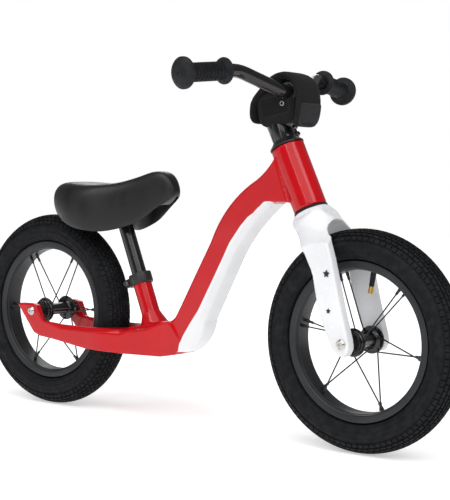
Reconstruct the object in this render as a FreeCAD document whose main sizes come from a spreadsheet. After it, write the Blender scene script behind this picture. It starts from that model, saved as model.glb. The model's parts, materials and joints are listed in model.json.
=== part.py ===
import FreeCAD, Part
import math
import os
import Sketcher
from FreeCAD import Placement, Rotation, Vector

# A child's balance bike: one cast frame, a fork that steers, two air-tyred wheels, a padded saddle.
# Millimetres. X forward, Y to the rider's left, Z up. The origin is on the floor, half way between
# the wheels, on the plane of symmetry.

doc = FreeCAD.newDocument("balance_bike")

# ---------------------------------------------------------------- driving dimensions

DIMENSIONS = [
    ("wheel_base", 572, "axle to axle"),
    ("tyre_radius", 150, "outside of the tyre"),
    ("tyre_section", 25.2, "half the width of the tyre"),
    ("tyre_wall", 3.6, "thickness of the tyre"),
    ("tube_wall", 1.2, "thickness of the inner tube"),
    ("rim_flange", 107.6, "radius over the rim's flanges"),
    ("rim_seat", 101.5, "radius of the bead seat"),
    ("rim_bed", 95.5, "radius of the rim's inner face"),
    ("rim_width", 33.4, "over the flanges"),
    ("rim_wall", 2.2, "thickness of the rim's walls"),
    ("spoke_radius", 1.0, "half a spoke's thickness"),
    ("spoke_stations", 6, "pairs of spokes round the rim"),
    ("spoke_splay", 2.2, "half the angle between a pair of spokes at the rim, degrees"),
    ("spoke_trail", 24, "how far round the hub a spoke starts, degrees"),
    ("spoke_side", 3, "spoke's end at the rim, from the wheel's middle plane"),
    ("nipple_radius", 2.0, "half a nipple's thickness"),
    ("nipple_reach", 12, "from a spoke's end to the rim"),
    ("hub_flange", 19, "radius of a hub flange"),
    ("hub_flange_gap", 46, "between the middles of the flanges"),
    ("hub_flange_plate", 3, "thickness of a hub flange"),
    ("hub_barrel", 9.2, "radius of the hub's middle"),
    ("hub_nose", 15, "radius of the hub's ends"),
    ("hub_length", 62, "over the hub's ends"),
    ("hub_fillet", 3, "slope from a hub flange down to the hub's middle"),
    ("bearing_outer", 13, "hub bearing, outer radius"),
    ("bearing_inner", 5.05, "hub bearing, bore radius"),
    ("bearing_width", 8, "hub bearing, along the axle"),
    ("axle_radius", 5, "hub axle"),
    ("axle_thread", 3, "axle bolt's thread, radius"),
    ("axle_bolt_reach", 28, "axle bolt under its head"),
    ("axle_bolt_head", 6.8, "axle bolt's head, radius"),
    ("axle_bolt_dome", 4.2, "axle bolt's head, height"),
    ("fork_gap", 75, "between the fork's blades"),
    ("fork_width", 106, "over the fork's blades"),
    ("stay_gap", 82, "between the rear arms"),
    ("stay_width", 106, "over the rear arms"),
    ("head_lean", 26, "steering axis from upright, degrees"),
    ("fork_rake", 3, "axle ahead of the steering axis"),
    ("head_bottom", 193.7, "from the axle, along the steering axis"),
    ("head_length", 93.6, "head tube"),
    ("head_radius", 23.5, "head tube, outside"),
    ("head_bore", 17, "head tube, inside between the bearings"),
    ("headset_outer", 20.5, "headset bearing, outer radius"),
    ("headset_inner", 15.1, "headset bearing, bore radius"),
    ("headset_width", 7, "headset bearing, height"),
    ("steerer_radius", 14.3, "steerer tube, outside"),
    ("steerer_wall", 2.3, "steerer tube"),
    ("cover_height", 9, "headset's top cover"),
    ("stem_height", 34, "stem's clamp on the steerer"),
    ("stem_radius", 16.8, "stem's clamp, outside"),
    ("bar_forward", 42, "bar ahead of the steering axis"),
    ("bar_up", 349, "bar above the axle, along the steering axis"),
    ("bar_radius", 9.5, "handlebar tube"),
    ("bar_wall", 1.8, "handlebar tube"),
    ("bar_clamp_radius", 14, "stem's clamp on the bar, outside"),
    ("bar_clamp_width", 38, "stem's clamp on the bar"),
    ("bar_middle", 28, "half the bar's straight middle, up to the corner"),
    ("bar_bend_side", 92, "where the bar turns into the grip, from the middle"),
    ("bar_bend_back", 29, "how far back that turn is"),
    ("bar_bend_rise", 25, "how far up that turn is"),
    ("bar_end_side", 186, "bar's end, from the middle"),
    ("bar_end_back", 43, "how far back the bar's end is"),
    ("bar_end_rise", 15, "how far up the bar's end is"),
    ("grip_radius", 12.6, "grip"),
    ("grip_length", 84, "grip, end cap included"),
    ("grip_flange", 18, "grip's inner flange, radius"),
    ("grip_cap", 21, "grip's end cap, radius"),
    ("beam_width", 45, "frame's beam"),
    ("beam_chamfer", 8.5, "bevel along the beam's underside"),
    ("beam_edge", 2.5, "bevel along the beam's upper edges"),
    ("seat_lean", 22.5, "seat tube from upright, degrees"),
    ("seat_foot_back", 83, "seat tube's axis behind the origin, at its foot"),
    ("seat_foot_height", 151, "height of that point"),
    ("seat_tube_length", 67, "seat tube above its foot"),
    ("seat_tube_radius", 14, "seat tube, outside"),
    ("seat_bore_depth", 34, "bore below the seat tube's foot"),
    ("post_radius", 11.1, "seat post, outside"),
    ("post_wall", 2, "seat post"),
    ("post_fit", 0.05, "room round the seat post"),
    ("post_length", 201, "seat post"),
    ("post_exposed", 105, "seat post above the seat tube, with the saddle at its lowest"),
    ("collar_radius", 17.2, "seat clamp, outside"),
    ("collar_height", 16, "seat clamp"),
    ("saddle_rear", -268, "saddle's back end"),
    ("saddle_nose", -38, "saddle's front end"),
    ("saddle_half_width", 63, "saddle at its widest"),
    ("saddle_nose_half_width", 20, "saddle's nose"),
    ("saddle_skin", 13, "padding at the saddle's sides"),
    ("saddle_hollow_top", 322, "height of the roof of the hollow under the saddle"),
    ("saddle_base_height", 319, "height of the middle of the saddle's base"),
    ("saddle_base_plate", 5, "thickness of the saddle's base"),
    ("bracket_top", 316.3, "height of the top of the bracket under the saddle"),
    ("bracket_plate", 3, "thickness of that bracket"),
    ("bracket_length", 62, "that bracket along the bike"),
    ("bracket_width", 34, "that bracket across the bike"),
    ("pad_half_width", 27, "handlebar pad, from the middle"),
    ("pad_thickness", 10, "handlebar pad's padding"),
    ("running_gap", 0.3, "between faces that turn past each other"),
    ("press_gap", 0.02, "between faces that are pressed or clamped together"),
    ("bolt_gap", 0.1, "between a bolt and its hole"),
    ("tube_gap", 0.4, "between the inner tube and the tyre"),
    ("valve_radius", 3.9, "tyre valve"),
    ("valve_reach", 31, "tyre valve below the rim's inner face"),
    ("valve_cap_reach", 10, "valve cap"),
]

sheet = doc.addObject("Spreadsheet::Sheet", "Sizes")
for row, (alias, number, meaning) in enumerate(DIMENSIONS, start=1):
    sheet.set(f"A{row}", meaning)
    sheet.set(f"B{row}", str(number))
    sheet.setAlias(f"B{row}", alias)
doc.recompute()


class Size:
    """A length with its value and the formula that ties it to the spreadsheet."""

    def __init__(self, value, formula):
        self.value = value
        self.formula = formula

    def __add__(self, other):
        other = as_size(other)
        return Size(self.value + other.value, f"({self.formula} + {other.formula})")

    def __sub__(self, other):
        other = as_size(other)
        return Size(self.value - other.value, f"({self.formula} - {other.formula})")

    def __mul__(self, factor):
        factor = as_size(factor)
        return Size(self.value * factor.value, f"({self.formula} * {factor.formula})")

    def __truediv__(self, divisor):
        divisor = as_size(divisor)
        return Size(self.value / divisor.value, f"({self.formula} / {divisor.formula})")

    def __rsub__(self, other):
        return as_size(other) - self

    def __neg__(self):
        return Size(-self.value, f"(0 - {self.formula})")

    __radd__ = __add__
    __rmul__ = __mul__


def as_size(number):
    """Turns a plain number into a Size."""
    if isinstance(number, Size):
        return number
    return Size(float(number), f"({float(number)})")


size = {alias: Size(float(sheet.get(alias)), f"Sizes.{alias}") for alias, _, _ in DIMENSIONS}
ZERO = as_size(0)
subparts = []


def keep(thing, label):
    """Marks a finished object as a sub-part and gives it its name."""
    thing.Label = label
    subparts.append(thing)
    return thing


def place(thing, where, turn=Rotation()):
    """Puts a thing at a point whose coordinates are sizes, turned by a rotation."""
    across, along, up = [as_size(number) for number in where]
    thing.Placement = Placement(Vector(across.value, along.value, up.value), turn)
    for axis, number in zip("xyz", (across, along, up)):
        thing.setExpression(f"Placement.Base.{axis}", number.formula)
    return thing


# ---------------------------------------------------------------- sketches and features


def origin_plane(body, role):
    return next(item for item in body.Origin.OriginFeatures if item.Role == role)


def arc_between(start, end, radius):
    """The short arc from start to end. A positive radius bulges to the right of the way along."""
    chord = end - start
    rise = math.sqrt(radius**2 - (chord.Length / 2) ** 2)
    inward = Vector(-chord.y, chord.x, 0).normalize() * math.copysign(rise, radius)
    centre = (start + end) * 0.5 + inward
    first, last = (start, end) if radius > 0 else (end, start)
    first_angle = math.atan2(first.y - centre.y, first.x - centre.x)
    last_angle = math.atan2(last.y - centre.y, last.x - centre.x)
    if last_angle < first_angle:
        last_angle += 2 * math.pi
    return Part.ArcOfCircle(Part.Circle(centre, Vector(0, 0, 1), abs(radius)), first_angle, last_angle)


def fix_point(sketch, index, end, point, name):
    """Ties one end of an edge to its place, measured from the sketch's origin."""
    for kind, axis, word, number in (
        ("DistanceX", -2, "across", point[0]),
        ("DistanceY", -1, "up", point[1]),
    ):
        if abs(number.value) < 1e-9:
            sketch.addConstraint(Sketcher.Constraint("PointOnObject", index, end, axis))
            continue
        rule = Sketcher.Constraint(kind, -1, 1, index, end, number.value)
        rule_index = sketch.addConstraint(rule)
        sketch.renameConstraint(rule_index, f"{word}_{name}")
        sketch.setExpression(f"Constraints.{word}_{name}", number.formula)


def outline(sketch, corners, name="p"):
    """Draws a closed outline. A corner is (across, up), with the radius of an edge that is an arc."""
    points = [(as_size(corner[0]), as_size(corner[1])) for corner in corners]
    places = [Vector(point[0].value, point[1].value, 0) for point in points]
    ends = []
    for number, corner in enumerate(corners):
        start = places[number]
        end = places[(number + 1) % len(places)]
        if len(corner) == 3:
            edge = arc_between(start, end, as_size(corner[2]).value)
        else:
            edge = Part.LineSegment(start, end)
        index = sketch.addGeometry(edge, False)
        forward = (sketch.Geometry[index].StartPoint - start).Length < 1e-6
        ends.append((index, 1, 2) if forward else (index, 2, 1))
    for number, corner in enumerate(corners):
        index, start_end, finish_end = ends[number]
        following = ends[(number + 1) % len(ends)]
        joint = Sketcher.Constraint("Coincident", index, finish_end, following[0], following[1])
        sketch.addConstraint(joint)
        fix_point(sketch, index, start_end, points[number], f"{name}_{number + 1}")
        if len(corner) == 3:
            radius = as_size(corner[2])
            plain = radius if radius.value > 0 else -radius
            rule_index = sketch.addConstraint(Sketcher.Constraint("Radius", index, plain.value))
            sketch.renameConstraint(rule_index, f"bend_{name}_{number + 1}")
            sketch.setExpression(f"Constraints.bend_{name}_{number + 1}", plain.formula)


def all_round():
    """A square well outside the bike, so that a pocket of it leaves what the next outline holds."""
    reach = as_size(400)
    return [(-reach, -reach), (reach, -reach), (reach, reach), (-reach, reach)]


def new_sketch(body, name, role, *outlines, lift=None):
    """A sketch on one of the body's own planes, with one or more closed outlines."""
    sketch = body.newObject("Sketcher::SketchObject", name)
    sketch.AttachmentSupport = (origin_plane(body, role), [""])
    sketch.MapMode = "FlatFace"
    if lift is not None:
        lift = as_size(lift)
        sketch.AttachmentOffset = Placement(Vector(0, 0, lift.value), Rotation())
        sketch.setExpression("AttachmentOffset.Base.z", lift.formula)
    for number, corners in enumerate(outlines, start=1):
        outline(sketch, corners, f"line{number}")
    return sketch


def new_body(label):
    return doc.addObject("PartDesign::Body", label)


def add_pad(body, sketch, width):
    """Thickens a sketch by half the width each way."""
    pad = body.newObject("PartDesign::Pad", sketch.Name + "_pad")
    pad.Profile = sketch
    pad.Midplane = True
    pad.setExpression("Length", as_size(width).formula)
    doc.recompute()
    return pad


def add_pocket(body, sketch, width):
    """Cuts a sketch away by half the width each way, and makes sure that it cuts something."""
    before = body.Shape.Volume
    pocket = body.newObject("PartDesign::Pocket", sketch.Name + "_pocket")
    pocket.Profile = sketch
    pocket.Midplane = True
    pocket.setExpression("Length", as_size(width).formula)
    doc.recompute()
    if body.Shape.Volume >= before - 1:
        raise RuntimeError(f"{pocket.Label} cuts nothing")
    return pocket


def turned(label, role, axis, *outlines):
    """A body of revolution: outlines on one of its planes, turned about that sketch's own axis."""
    body = new_body(label)
    sketch = new_sketch(body, label + "_section", role, *outlines)
    spin = body.newObject("PartDesign::Revolution", label + "_turned")
    spin.Profile = sketch
    spin.ReferenceAxis = (sketch, [axis])
    spin.Angle = 360
    doc.recompute()
    return body


def turned_about_y(label, *outlines):
    """Outline points are (along the axle, out from it)."""
    return turned(label, "YZ_Plane", "H_Axis", *outlines)


def turned_about_z(label, *outlines):
    """Outline points are (out from the axis, along it)."""
    return turned(label, "XZ_Plane", "V_Axis", *outlines)


def ring(inner, outer, low, high):
    """The corners of a ring's section, for turned_about_z."""
    return [(inner, low), (outer, low), (outer, high), (inner, high)]


def cylinder(name, radius, length, where=(0, 0, 0), turn=Rotation()):
    rod = doc.addObject("Part::Cylinder", name)
    rod.setExpression("Radius", as_size(radius).formula)
    rod.setExpression("Height", as_size(length).formula)
    return place(rod, where, turn)


def box(name, sizes, where, turn=Rotation()):
    """A box by its lengths along X, Y and Z and its lowest corner."""
    block = doc.addObject("Part::Box", name)
    for side, length in zip(("Length", "Width", "Height"), sizes):
        block.setExpression(side, as_size(length).formula)
    return place(block, where, turn)


def cut(name, base, *tools):
    """Takes one or more tools out of a base, one after the other."""
    for number, tool in enumerate(tools, start=1):
        made = doc.addObject("Part::Cut", f"{name}_{number}")
        made.Base = base
        made.Tool = tool
        base = made
    doc.recompute()
    return base


def fuse(name, *pieces):
    made = doc.addObject("Part::MultiFuse", name)
    made.Shapes = list(pieces)
    doc.recompute()
    return made


def group(name, *pieces):
    """Like pieces that are separate solids in one node."""
    made = doc.addObject("Part::Compound", name)
    made.Links = list(pieces)
    doc.recompute()
    return made


def across_symmetry(name, source):
    """The same piece on the other side of the bike."""
    made = doc.addObject("Part::Mirroring", name)
    made.Source = source
    made.Normal = Vector(0, 1, 0)
    doc.recompute()
    return made


def socket_bolt(label, shank, reach, head, dome, key):
    """A button-head bolt along Z: head above zero, shank below it, with a hexagon socket."""
    body = turned_about_z(
        label,
        [
            (0, -reach),
            (shank, -reach),
            (shank, 0),
            (head, 0),
            (head, dome * 0.3),
            (head * 0.62, dome),
            (0, dome),
        ],
    )
    corners = []
    for corner in range(6):
        angle = math.radians(60 * corner)
        corners.append((key * math.cos(angle), key * math.sin(angle)))
    sketch = new_sketch(body, label + "_socket", "XY_Plane", corners, lift=dome)
    add_pocket(body, sketch, dome * 1.2)
    return body


# ---------------------------------------------------------------- places shared by the pieces

REAR_X = -size["wheel_base"] / 2
FRONT_X = size["wheel_base"] / 2
AXLE_HEIGHT = size["tyre_radius"]
LEAN = math.radians(size["head_lean"].value)
STEER_X = FRONT_X - size["fork_rake"] * math.cos(LEAN)
STEER_Z = AXLE_HEIGHT - size["fork_rake"] * math.sin(LEAN)
STEER_TURN = Rotation(Vector(0, 1, 0), -size["head_lean"].value)
SEAT_TURN = Rotation(Vector(0, 1, 0), -size["seat_lean"].value)
TO_RIGHT = Rotation(Vector(1, 0, 0), 90)
TO_FRONT = Rotation(Vector(0, 1, 0), 90)
TO_LEFT = Rotation(Vector(1, 0, 0), -90)


def on_steering_axis(forward, side, up):
    """A point given forward of, beside and along the steering axis, from the front axle's level."""
    cosine, sine = math.cos(LEAN), math.sin(LEAN)
    forward, side, up = as_size(forward), as_size(side), as_size(up)
    across = STEER_X + forward * cosine - up * sine
    height = STEER_Z + forward * sine + up * cosine
    return across, side, height


def steered(thing, forward=0, side=0, up=0, turn=Rotation()):
    """Places a piece that was made upright on the leaning steering axis."""
    return place(thing, on_steering_axis(forward, side, up), STEER_TURN.multiply(turn))


# ---------------------------------------------------------------- wheels


def make_wheel(side_name, axle_x, turn_degrees, valve_degrees):
    """One wheel: tyre, inner tube, rim, rim strip, hub, bearings, spokes, nipples, valve and cap."""
    centre = (axle_x, 0, AXLE_HEIGHT)

    tyre_out = size["tyre_radius"]
    tyre_mid = tyre_out - size["tyre_section"]
    carcass = doc.addObject("Part::Torus", side_name + "_carcass")
    carcass.setExpression("Radius1", tyre_mid.formula)
    carcass.setExpression("Radius2", size["tyre_section"].formula)
    place(carcass, centre, TO_RIGHT)
    hollow = doc.addObject("Part::Torus", side_name + "_hollow")
    hollow.setExpression("Radius1", tyre_mid.formula)
    hollow.setExpression("Radius2", (size["tyre_section"] - size["tyre_wall"]).formula)
    place(hollow, centre, TO_RIGHT)
    mouth_half = size["rim_width"] / 2 + 0.2
    mouth = cylinder(
        side_name + "_mouth",
        size["rim_flange"] + 0.2,
        mouth_half * 2,
        (axle_x, mouth_half, AXLE_HEIGHT),
        TO_RIGHT,
    )
    keep(cut(side_name + "_tyre_cut", carcass, hollow, mouth), side_name + "_tyre")

    tube_major = tyre_mid + 1
    tube_minor = size["tyre_section"] - size["tyre_wall"] - 1 - size["tube_gap"]
    tube = doc.addObject("Part::Torus", side_name + "_tube_skin")
    tube.setExpression("Radius1", tube_major.formula)
    tube.setExpression("Radius2", tube_minor.formula)
    place(tube, centre, TO_RIGHT)
    air = doc.addObject("Part::Torus", side_name + "_air")
    air.setExpression("Radius1", tube_major.formula)
    air.setExpression("Radius2", (tube_minor - size["tube_wall"]).formula)
    place(air, centre, TO_RIGHT)
    keep(cut(side_name + "_tube_cut", tube, air), side_name + "_inner_tube")

    half = size["rim_width"] / 2
    wall = size["rim_wall"]
    rim = turned_about_y(
        side_name + "_rim_ring",
        [
            (-half + 3, size["rim_bed"]),
            (half - 3, size["rim_bed"]),
            (half, size["rim_bed"] + 3.5),
            (half, size["rim_flange"]),
            (half - wall, size["rim_flange"]),
            (half - wall, size["rim_seat"]),
            (half - wall - 6, size["rim_seat"] - 1.5),
            (half - wall - 8, size["rim_bed"] + wall),
            (-half + wall + 8, size["rim_bed"] + wall),
            (-half + wall + 6, size["rim_seat"] - 1.5),
            (-half + wall, size["rim_seat"]),
            (-half + wall, size["rim_flange"]),
            (-half, size["rim_flange"]),
            (-half, size["rim_bed"] + 3.5),
        ],
    )
    strip_half = as_size(5.5)
    strip_low = size["rim_bed"] + wall
    strip = turned_about_y(
        side_name + "_strip_ring",
        [
            (-strip_half, strip_low),
            (strip_half, strip_low),
            (strip_half, strip_low + 0.8),
            (-strip_half, strip_low + 0.8),
        ],
    )

    end = size["hub_length"] / 2
    middle = size["hub_flange_gap"] / 2
    plate = size["hub_flange_plate"] / 2
    seat = end - size["bearing_width"]
    bore = size["axle_radius"] + 1.5
    fillet = size["hub_fillet"]
    hub = turned_about_y(
        side_name + "_hub_shell",
        [
            (-end, size["bearing_outer"]),
            (-seat, size["bearing_outer"]),
            (-seat, bore),
            (seat, bore),
            (seat, size["bearing_outer"]),
            (end, size["bearing_outer"]),
            (end, size["hub_nose"]),
            (middle + plate, size["hub_nose"] + 0.8),
            (middle + plate, size["hub_flange"]),
            (middle - plate, size["hub_flange"]),
            (middle - plate, size["hub_barrel"] + fillet),
            (middle - plate - fillet, size["hub_barrel"]),
            (-middle + plate + fillet, size["hub_barrel"]),
            (-middle + plate, size["hub_barrel"] + fillet),
            (-middle + plate, size["hub_flange"]),
            (-middle - plate, size["hub_flange"]),
            (-middle - plate, size["hub_nose"] + 0.8),
            (-end, size["hub_nose"]),
        ],
    )
    keep(place(hub, centre), side_name + "_hub")

    valve_turn = Rotation(Vector(0, 1, 0), -90 - valve_degrees)
    valve_way = valve_turn.multVec(Vector(0, 0, 1))
    for number, (whole, label) in enumerate(((rim, "_rim"), (strip, "_rim_strip"))):
        hole = cylinder(
            f"{side_name}_valve_hole_{number}",
            size["valve_radius"] + size["bolt_gap"],
            12,
            radial(axle_x, valve_way, size["rim_bed"] + 6),
            valve_turn,
        )
        drilled = cut(f"{side_name}{label}_cut", place(whole, centre), hole)
        keep(drilled, side_name + label)
    make_valve(side_name, axle_x, valve_turn, valve_way, tube_major - tube_minor)

    bearings = []
    for side in (-1, 1):
        near = seat if side > 0 else -end
        far = end if side > 0 else -seat
        bearing = turned_about_y(
            f"{side_name}_bearing_{'left' if side > 0 else 'right'}",
            [
                (near, size["bearing_inner"]),
                (far, size["bearing_inner"]),
                (far, size["bearing_outer"]),
                (near, size["bearing_outer"]),
            ],
        )
        bearings.append(place(bearing, centre))
    keep(group(side_name + "_bearing_pair", *bearings), side_name + "_hub_bearings")

    make_spokes(side_name, axle_x, turn_degrees)


def make_spokes(side_name, axle_x, turn_degrees):
    """Pairs of spokes that start apart at the hub's flanges and meet at the rim, each in a nipple."""
    spokes, nipples = [], []
    stations = int(size["spoke_stations"].value)
    inside = (size["hub_flange_gap"] - size["hub_flange_plate"]) / 2 - size["spoke_radius"] * 1.8
    hole_radius = size["hub_flange"].value - 3
    rim_radius = size["rim_bed"].value
    tail = 2
    for station in range(stations):
        for side in (-1, 1):
            angle = turn_degrees + 360 / stations * station
            rim_angle = math.radians(angle - side * size["spoke_splay"].value)
            hub_angle = math.radians(angle + side * size["spoke_trail"].value)
            foot = Vector(
                hole_radius * math.cos(hub_angle),
                side * inside.value,
                hole_radius * math.sin(hub_angle),
            )
            head = Vector(
                rim_radius * math.cos(rim_angle),
                side * size["spoke_side"].value,
                rim_radius * math.sin(rim_angle),
            )
            way = (head - foot).normalize()
            turn = Rotation(Vector(0, 0, 1), way)
            reach = (head - foot).Length - size["nipple_reach"].value
            start = foot - way * tail
            tip = foot + way * reach
            number = len(spokes) + 1
            spoke = cylinder(
                f"{side_name}_spoke_{number}",
                size["spoke_radius"],
                reach + tail,
                (axle_x + start.x, start.y, AXLE_HEIGHT + start.z),
                turn,
            )
            spokes.append(spoke)
            nipple = cylinder(
                f"{side_name}_nipple_{number}",
                size["nipple_radius"],
                size["nipple_reach"] - 0.8,
                (axle_x + tip.x, tip.y, AXLE_HEIGHT + tip.z),
                turn,
            )
            nipples.append(nipple)
    keep(group(side_name + "_spoke_set", *spokes), side_name + "_spokes")
    keep(group(side_name + "_nipple_set", *nipples), side_name + "_nipples")


def make_valve(side_name, axle_x, turn, way, root):
    """The tyre's valve, from the inner tube through the rim, with its cap."""
    cap_top = size["rim_bed"] - size["valve_reach"] + size["valve_cap_reach"]
    cap = cylinder(
        side_name + "_cap",
        size["valve_radius"] + 0.6,
        size["valve_cap_reach"],
        radial(axle_x, way, cap_top),
        turn,
    )
    keep(cap, side_name + "_valve_cap")
    valve = cylinder(
        side_name + "_valve_rod",
        size["valve_radius"],
        root - size["bolt_gap"] - cap_top,
        radial(axle_x, way, root - size["bolt_gap"]),
        turn,
    )
    keep(valve, side_name + "_valve")


def radial(axle_x, inward, distance):
    """The point at a distance from the wheel's axle, against the inward direction."""
    return (
        axle_x - distance * inward.x,
        -distance * inward.y,
        AXLE_HEIGHT - distance * inward.z,
    )


def make_axle(side_name, axle_x, gap, width):
    """An axle held between two arms by a bolt at each end, with a spacer each side."""
    half = gap / 2
    hole = size["axle_thread"] + size["bolt_gap"]
    axle = turned_about_y(
        side_name + "_axle_tube",
        [
            (-half, hole),
            (half, hole),
            (half, size["axle_radius"]),
            (-half, size["axle_radius"]),
        ],
    )
    keep(place(axle, (axle_x, 0, AXLE_HEIGHT)), side_name + "_axle")

    near = size["hub_length"] / 2 + size["running_gap"]
    spacer = turned_about_y(
        side_name + "_spacer_left",
        [
            (near, size["axle_radius"] + size["press_gap"]),
            (half, size["axle_radius"] + size["press_gap"]),
            (half, size["axle_radius"] + 4.5),
            (half - 2.5, size["axle_radius"] + 4.5),
            (half - 2.5, size["axle_radius"] + 2.5),
            (near, size["axle_radius"] + 2.5),
        ],
    )
    place(spacer, (axle_x, 0, AXLE_HEIGHT))
    other = across_symmetry(side_name + "_spacer_right", spacer)
    keep(group(side_name + "_spacer_pair", spacer, other), side_name + "_axle_spacers")

    bolt = socket_bolt(
        side_name + "_bolt_left",
        size["axle_thread"],
        size["axle_bolt_reach"],
        size["axle_bolt_head"],
        size["axle_bolt_dome"],
        size["axle_thread"] * 0.75,
    )
    place(bolt, (axle_x, width / 2, AXLE_HEIGHT), TO_LEFT)
    other = across_symmetry(side_name + "_bolt_right", bolt)
    keep(group(side_name + "_bolt_pair", bolt, other), side_name + "_axle_bolts")


# ---------------------------------------------------------------- frame


def make_frame():
    """The one-piece casting: beam, head tube, seat tube, and two arms round the rear wheel."""
    body = new_body("frame_body")
    beam = new_sketch(
        body,
        "beam_side",
        "XZ_Plane",
        [
            (151, 393, -110),
            (120, 361, 180),
            (42, 272),
            (-18, 165, -26),
            (-44, 150),
            (-112, 137),
            (-112, 98.5),
            (-46, 98.5),
            (-20, 103.5, 60),
            (30, 157),
            (78, 251, -260),
            (150, 331),
            (176, 331),
        ],
    )
    add_pad(body, beam, size["beam_width"])
    bevel(body, beam, (8, 9, 10), size["beam_chamfer"], "beam_front_bevel")
    bevel(body, beam, (0, 1, 2, 3), size["beam_edge"], "beam_top_bevel")

    stays = new_body("stays_body")
    side = new_sketch(
        stays,
        "stays_side",
        "XZ_Plane",
        [
            (REAR_X - 31, 158),
            (REAR_X - 28, 160.5),
            (REAR_X + 1, 161.5),
            (REAR_X + 9, 159),
            (REAR_X + 24, 136),
            (REAR_X + 60, 134.5),
            (-100, 134.5),
            (-70, 139),
            (-44, 150),
            (-30, 152),
            (-4, 118),
            (-20, 103.5),
            (-46, 98.5),
            (-106, 98.5),
            (-174, 101.5),
            (REAR_X + 44, 110),
            (REAR_X + 18, 112),
            (REAR_X + 4, 117),
        ],
    )
    add_pad(stays, side, size["stay_width"])
    wide = size["stay_width"] / 2
    slim = size["beam_width"] / 2
    inner = size["stay_gap"] / 2
    plan = [
        (REAR_X - 40, -wide),
        (-170, -wide, 120),
        (-112, -wide + 11),
        (-44, -slim - 3),
        (0, -slim),
        (0, slim),
        (-44, slim + 3),
        (-112, wide - 11, 120),
        (-170, wide),
        (REAR_X - 40, wide),
        (REAR_X - 40, inner),
        (-178, inner, -60),
        (-142, inner - 10, -34),
        (-126, 0, -34),
        (-142, -inner + 10, -60),
        (-178, -inner),
        (REAR_X - 40, -inner),
    ]
    around = new_sketch(stays, "stays_plan", "XY_Plane", all_round(), plan)
    add_pocket(stays, around, 600)

    head_low = size["head_bottom"]
    head = cylinder("head_tube", size["head_radius"], size["head_length"])
    steered(head, 0, 0, head_low)
    seat = cylinder("seat_tube", size["seat_tube_radius"], size["seat_tube_length"] + 30)
    place(seat, along_seat(-30), SEAT_TURN)
    flare = doc.addObject("Part::Cone", "seat_tube_flare")
    flare.setExpression("Radius1", (size["seat_tube_radius"] + 9).formula)
    flare.setExpression("Radius2", size["seat_tube_radius"].formula)
    flare.setExpression("Height", (size["seat_tube_radius"] + 8).formula)
    place(flare, along_seat(-14), SEAT_TURN)
    solid = fuse("frame_solid", body, stays, head, seat, flare)

    steer_bore = cylinder("steer_bore", size["head_bore"], size["head_length"])
    steered(steer_bore, 0, 0, head_low)
    seats = []
    for number, level in enumerate((head_low, head_low + size["head_length"] - size["headset_width"])):
        seat_cut = cylinder(f"bearing_seat_{number}", size["headset_outer"], size["headset_width"])
        seats.append(steered(seat_cut, 0, 0, level))
    post_bore = cylinder(
        "post_bore",
        size["post_radius"] + size["post_fit"],
        size["seat_tube_length"] + size["seat_bore_depth"],
    )
    place(post_bore, along_seat(-size["seat_bore_depth"]), SEAT_TURN)
    slit = box("seat_slit", (20, 2.5, 26), along_seat(size["seat_tube_length"] - 26, -20, -1.25), SEAT_TURN)
    drill = cylinder(
        "rear_axle_drill",
        size["axle_thread"] + 0.2,
        size["stay_width"] + 10,
        (REAR_X, size["stay_width"] / 2 + 5, AXLE_HEIGHT),
        TO_RIGHT,
    )
    keep(cut("frame_cut", solid, steer_bore, *seats, post_bore, slit, drill), "frame_casting")


def along_seat(up, forward=0, side=0):
    """A point given along the seat tube's axis from its foot, and forward of and beside it."""
    lean = math.radians(size["seat_lean"].value)
    up, forward = as_size(up), as_size(forward)
    across = forward * math.cos(lean) - up * math.sin(lean) - size["seat_foot_back"]
    height = forward * math.sin(lean) + up * math.cos(lean) + size["seat_foot_height"]
    return across, as_size(side), height


def long_edges(body, sketch, numbers, half):
    """The names of the pad's edges that come from these edges of its sketch, on both sides."""
    middles = []
    for number in numbers:
        edge = sketch.Geometry[number]
        middle = edge.value((edge.FirstParameter + edge.LastParameter) / 2)
        middles.append(Vector(middle.x, 0, middle.y))
    names = []
    for number, edge in enumerate(body.Shape.Edges, start=1):
        middle = edge.valueAt((edge.FirstParameter + edge.LastParameter) / 2)
        flat = Vector(middle.x, 0, middle.z)
        if abs(abs(middle.y) - half) < 0.01 and min((flat - spot).Length for spot in middles) < 0.5:
            names.append(f"Edge{number}")
    return names


def bevel(body, sketch, numbers, width, name):
    """Bevels long edges of the body's newest pad."""
    solid = body.Tip
    names = long_edges(body, sketch, numbers, size["beam_width"].value / 2)
    chamfer = body.newObject("PartDesign::Chamfer", name)
    chamfer.Base = (solid, names)
    chamfer.setExpression("Size", width.formula)
    doc.recompute()


# ---------------------------------------------------------------- steering


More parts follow.
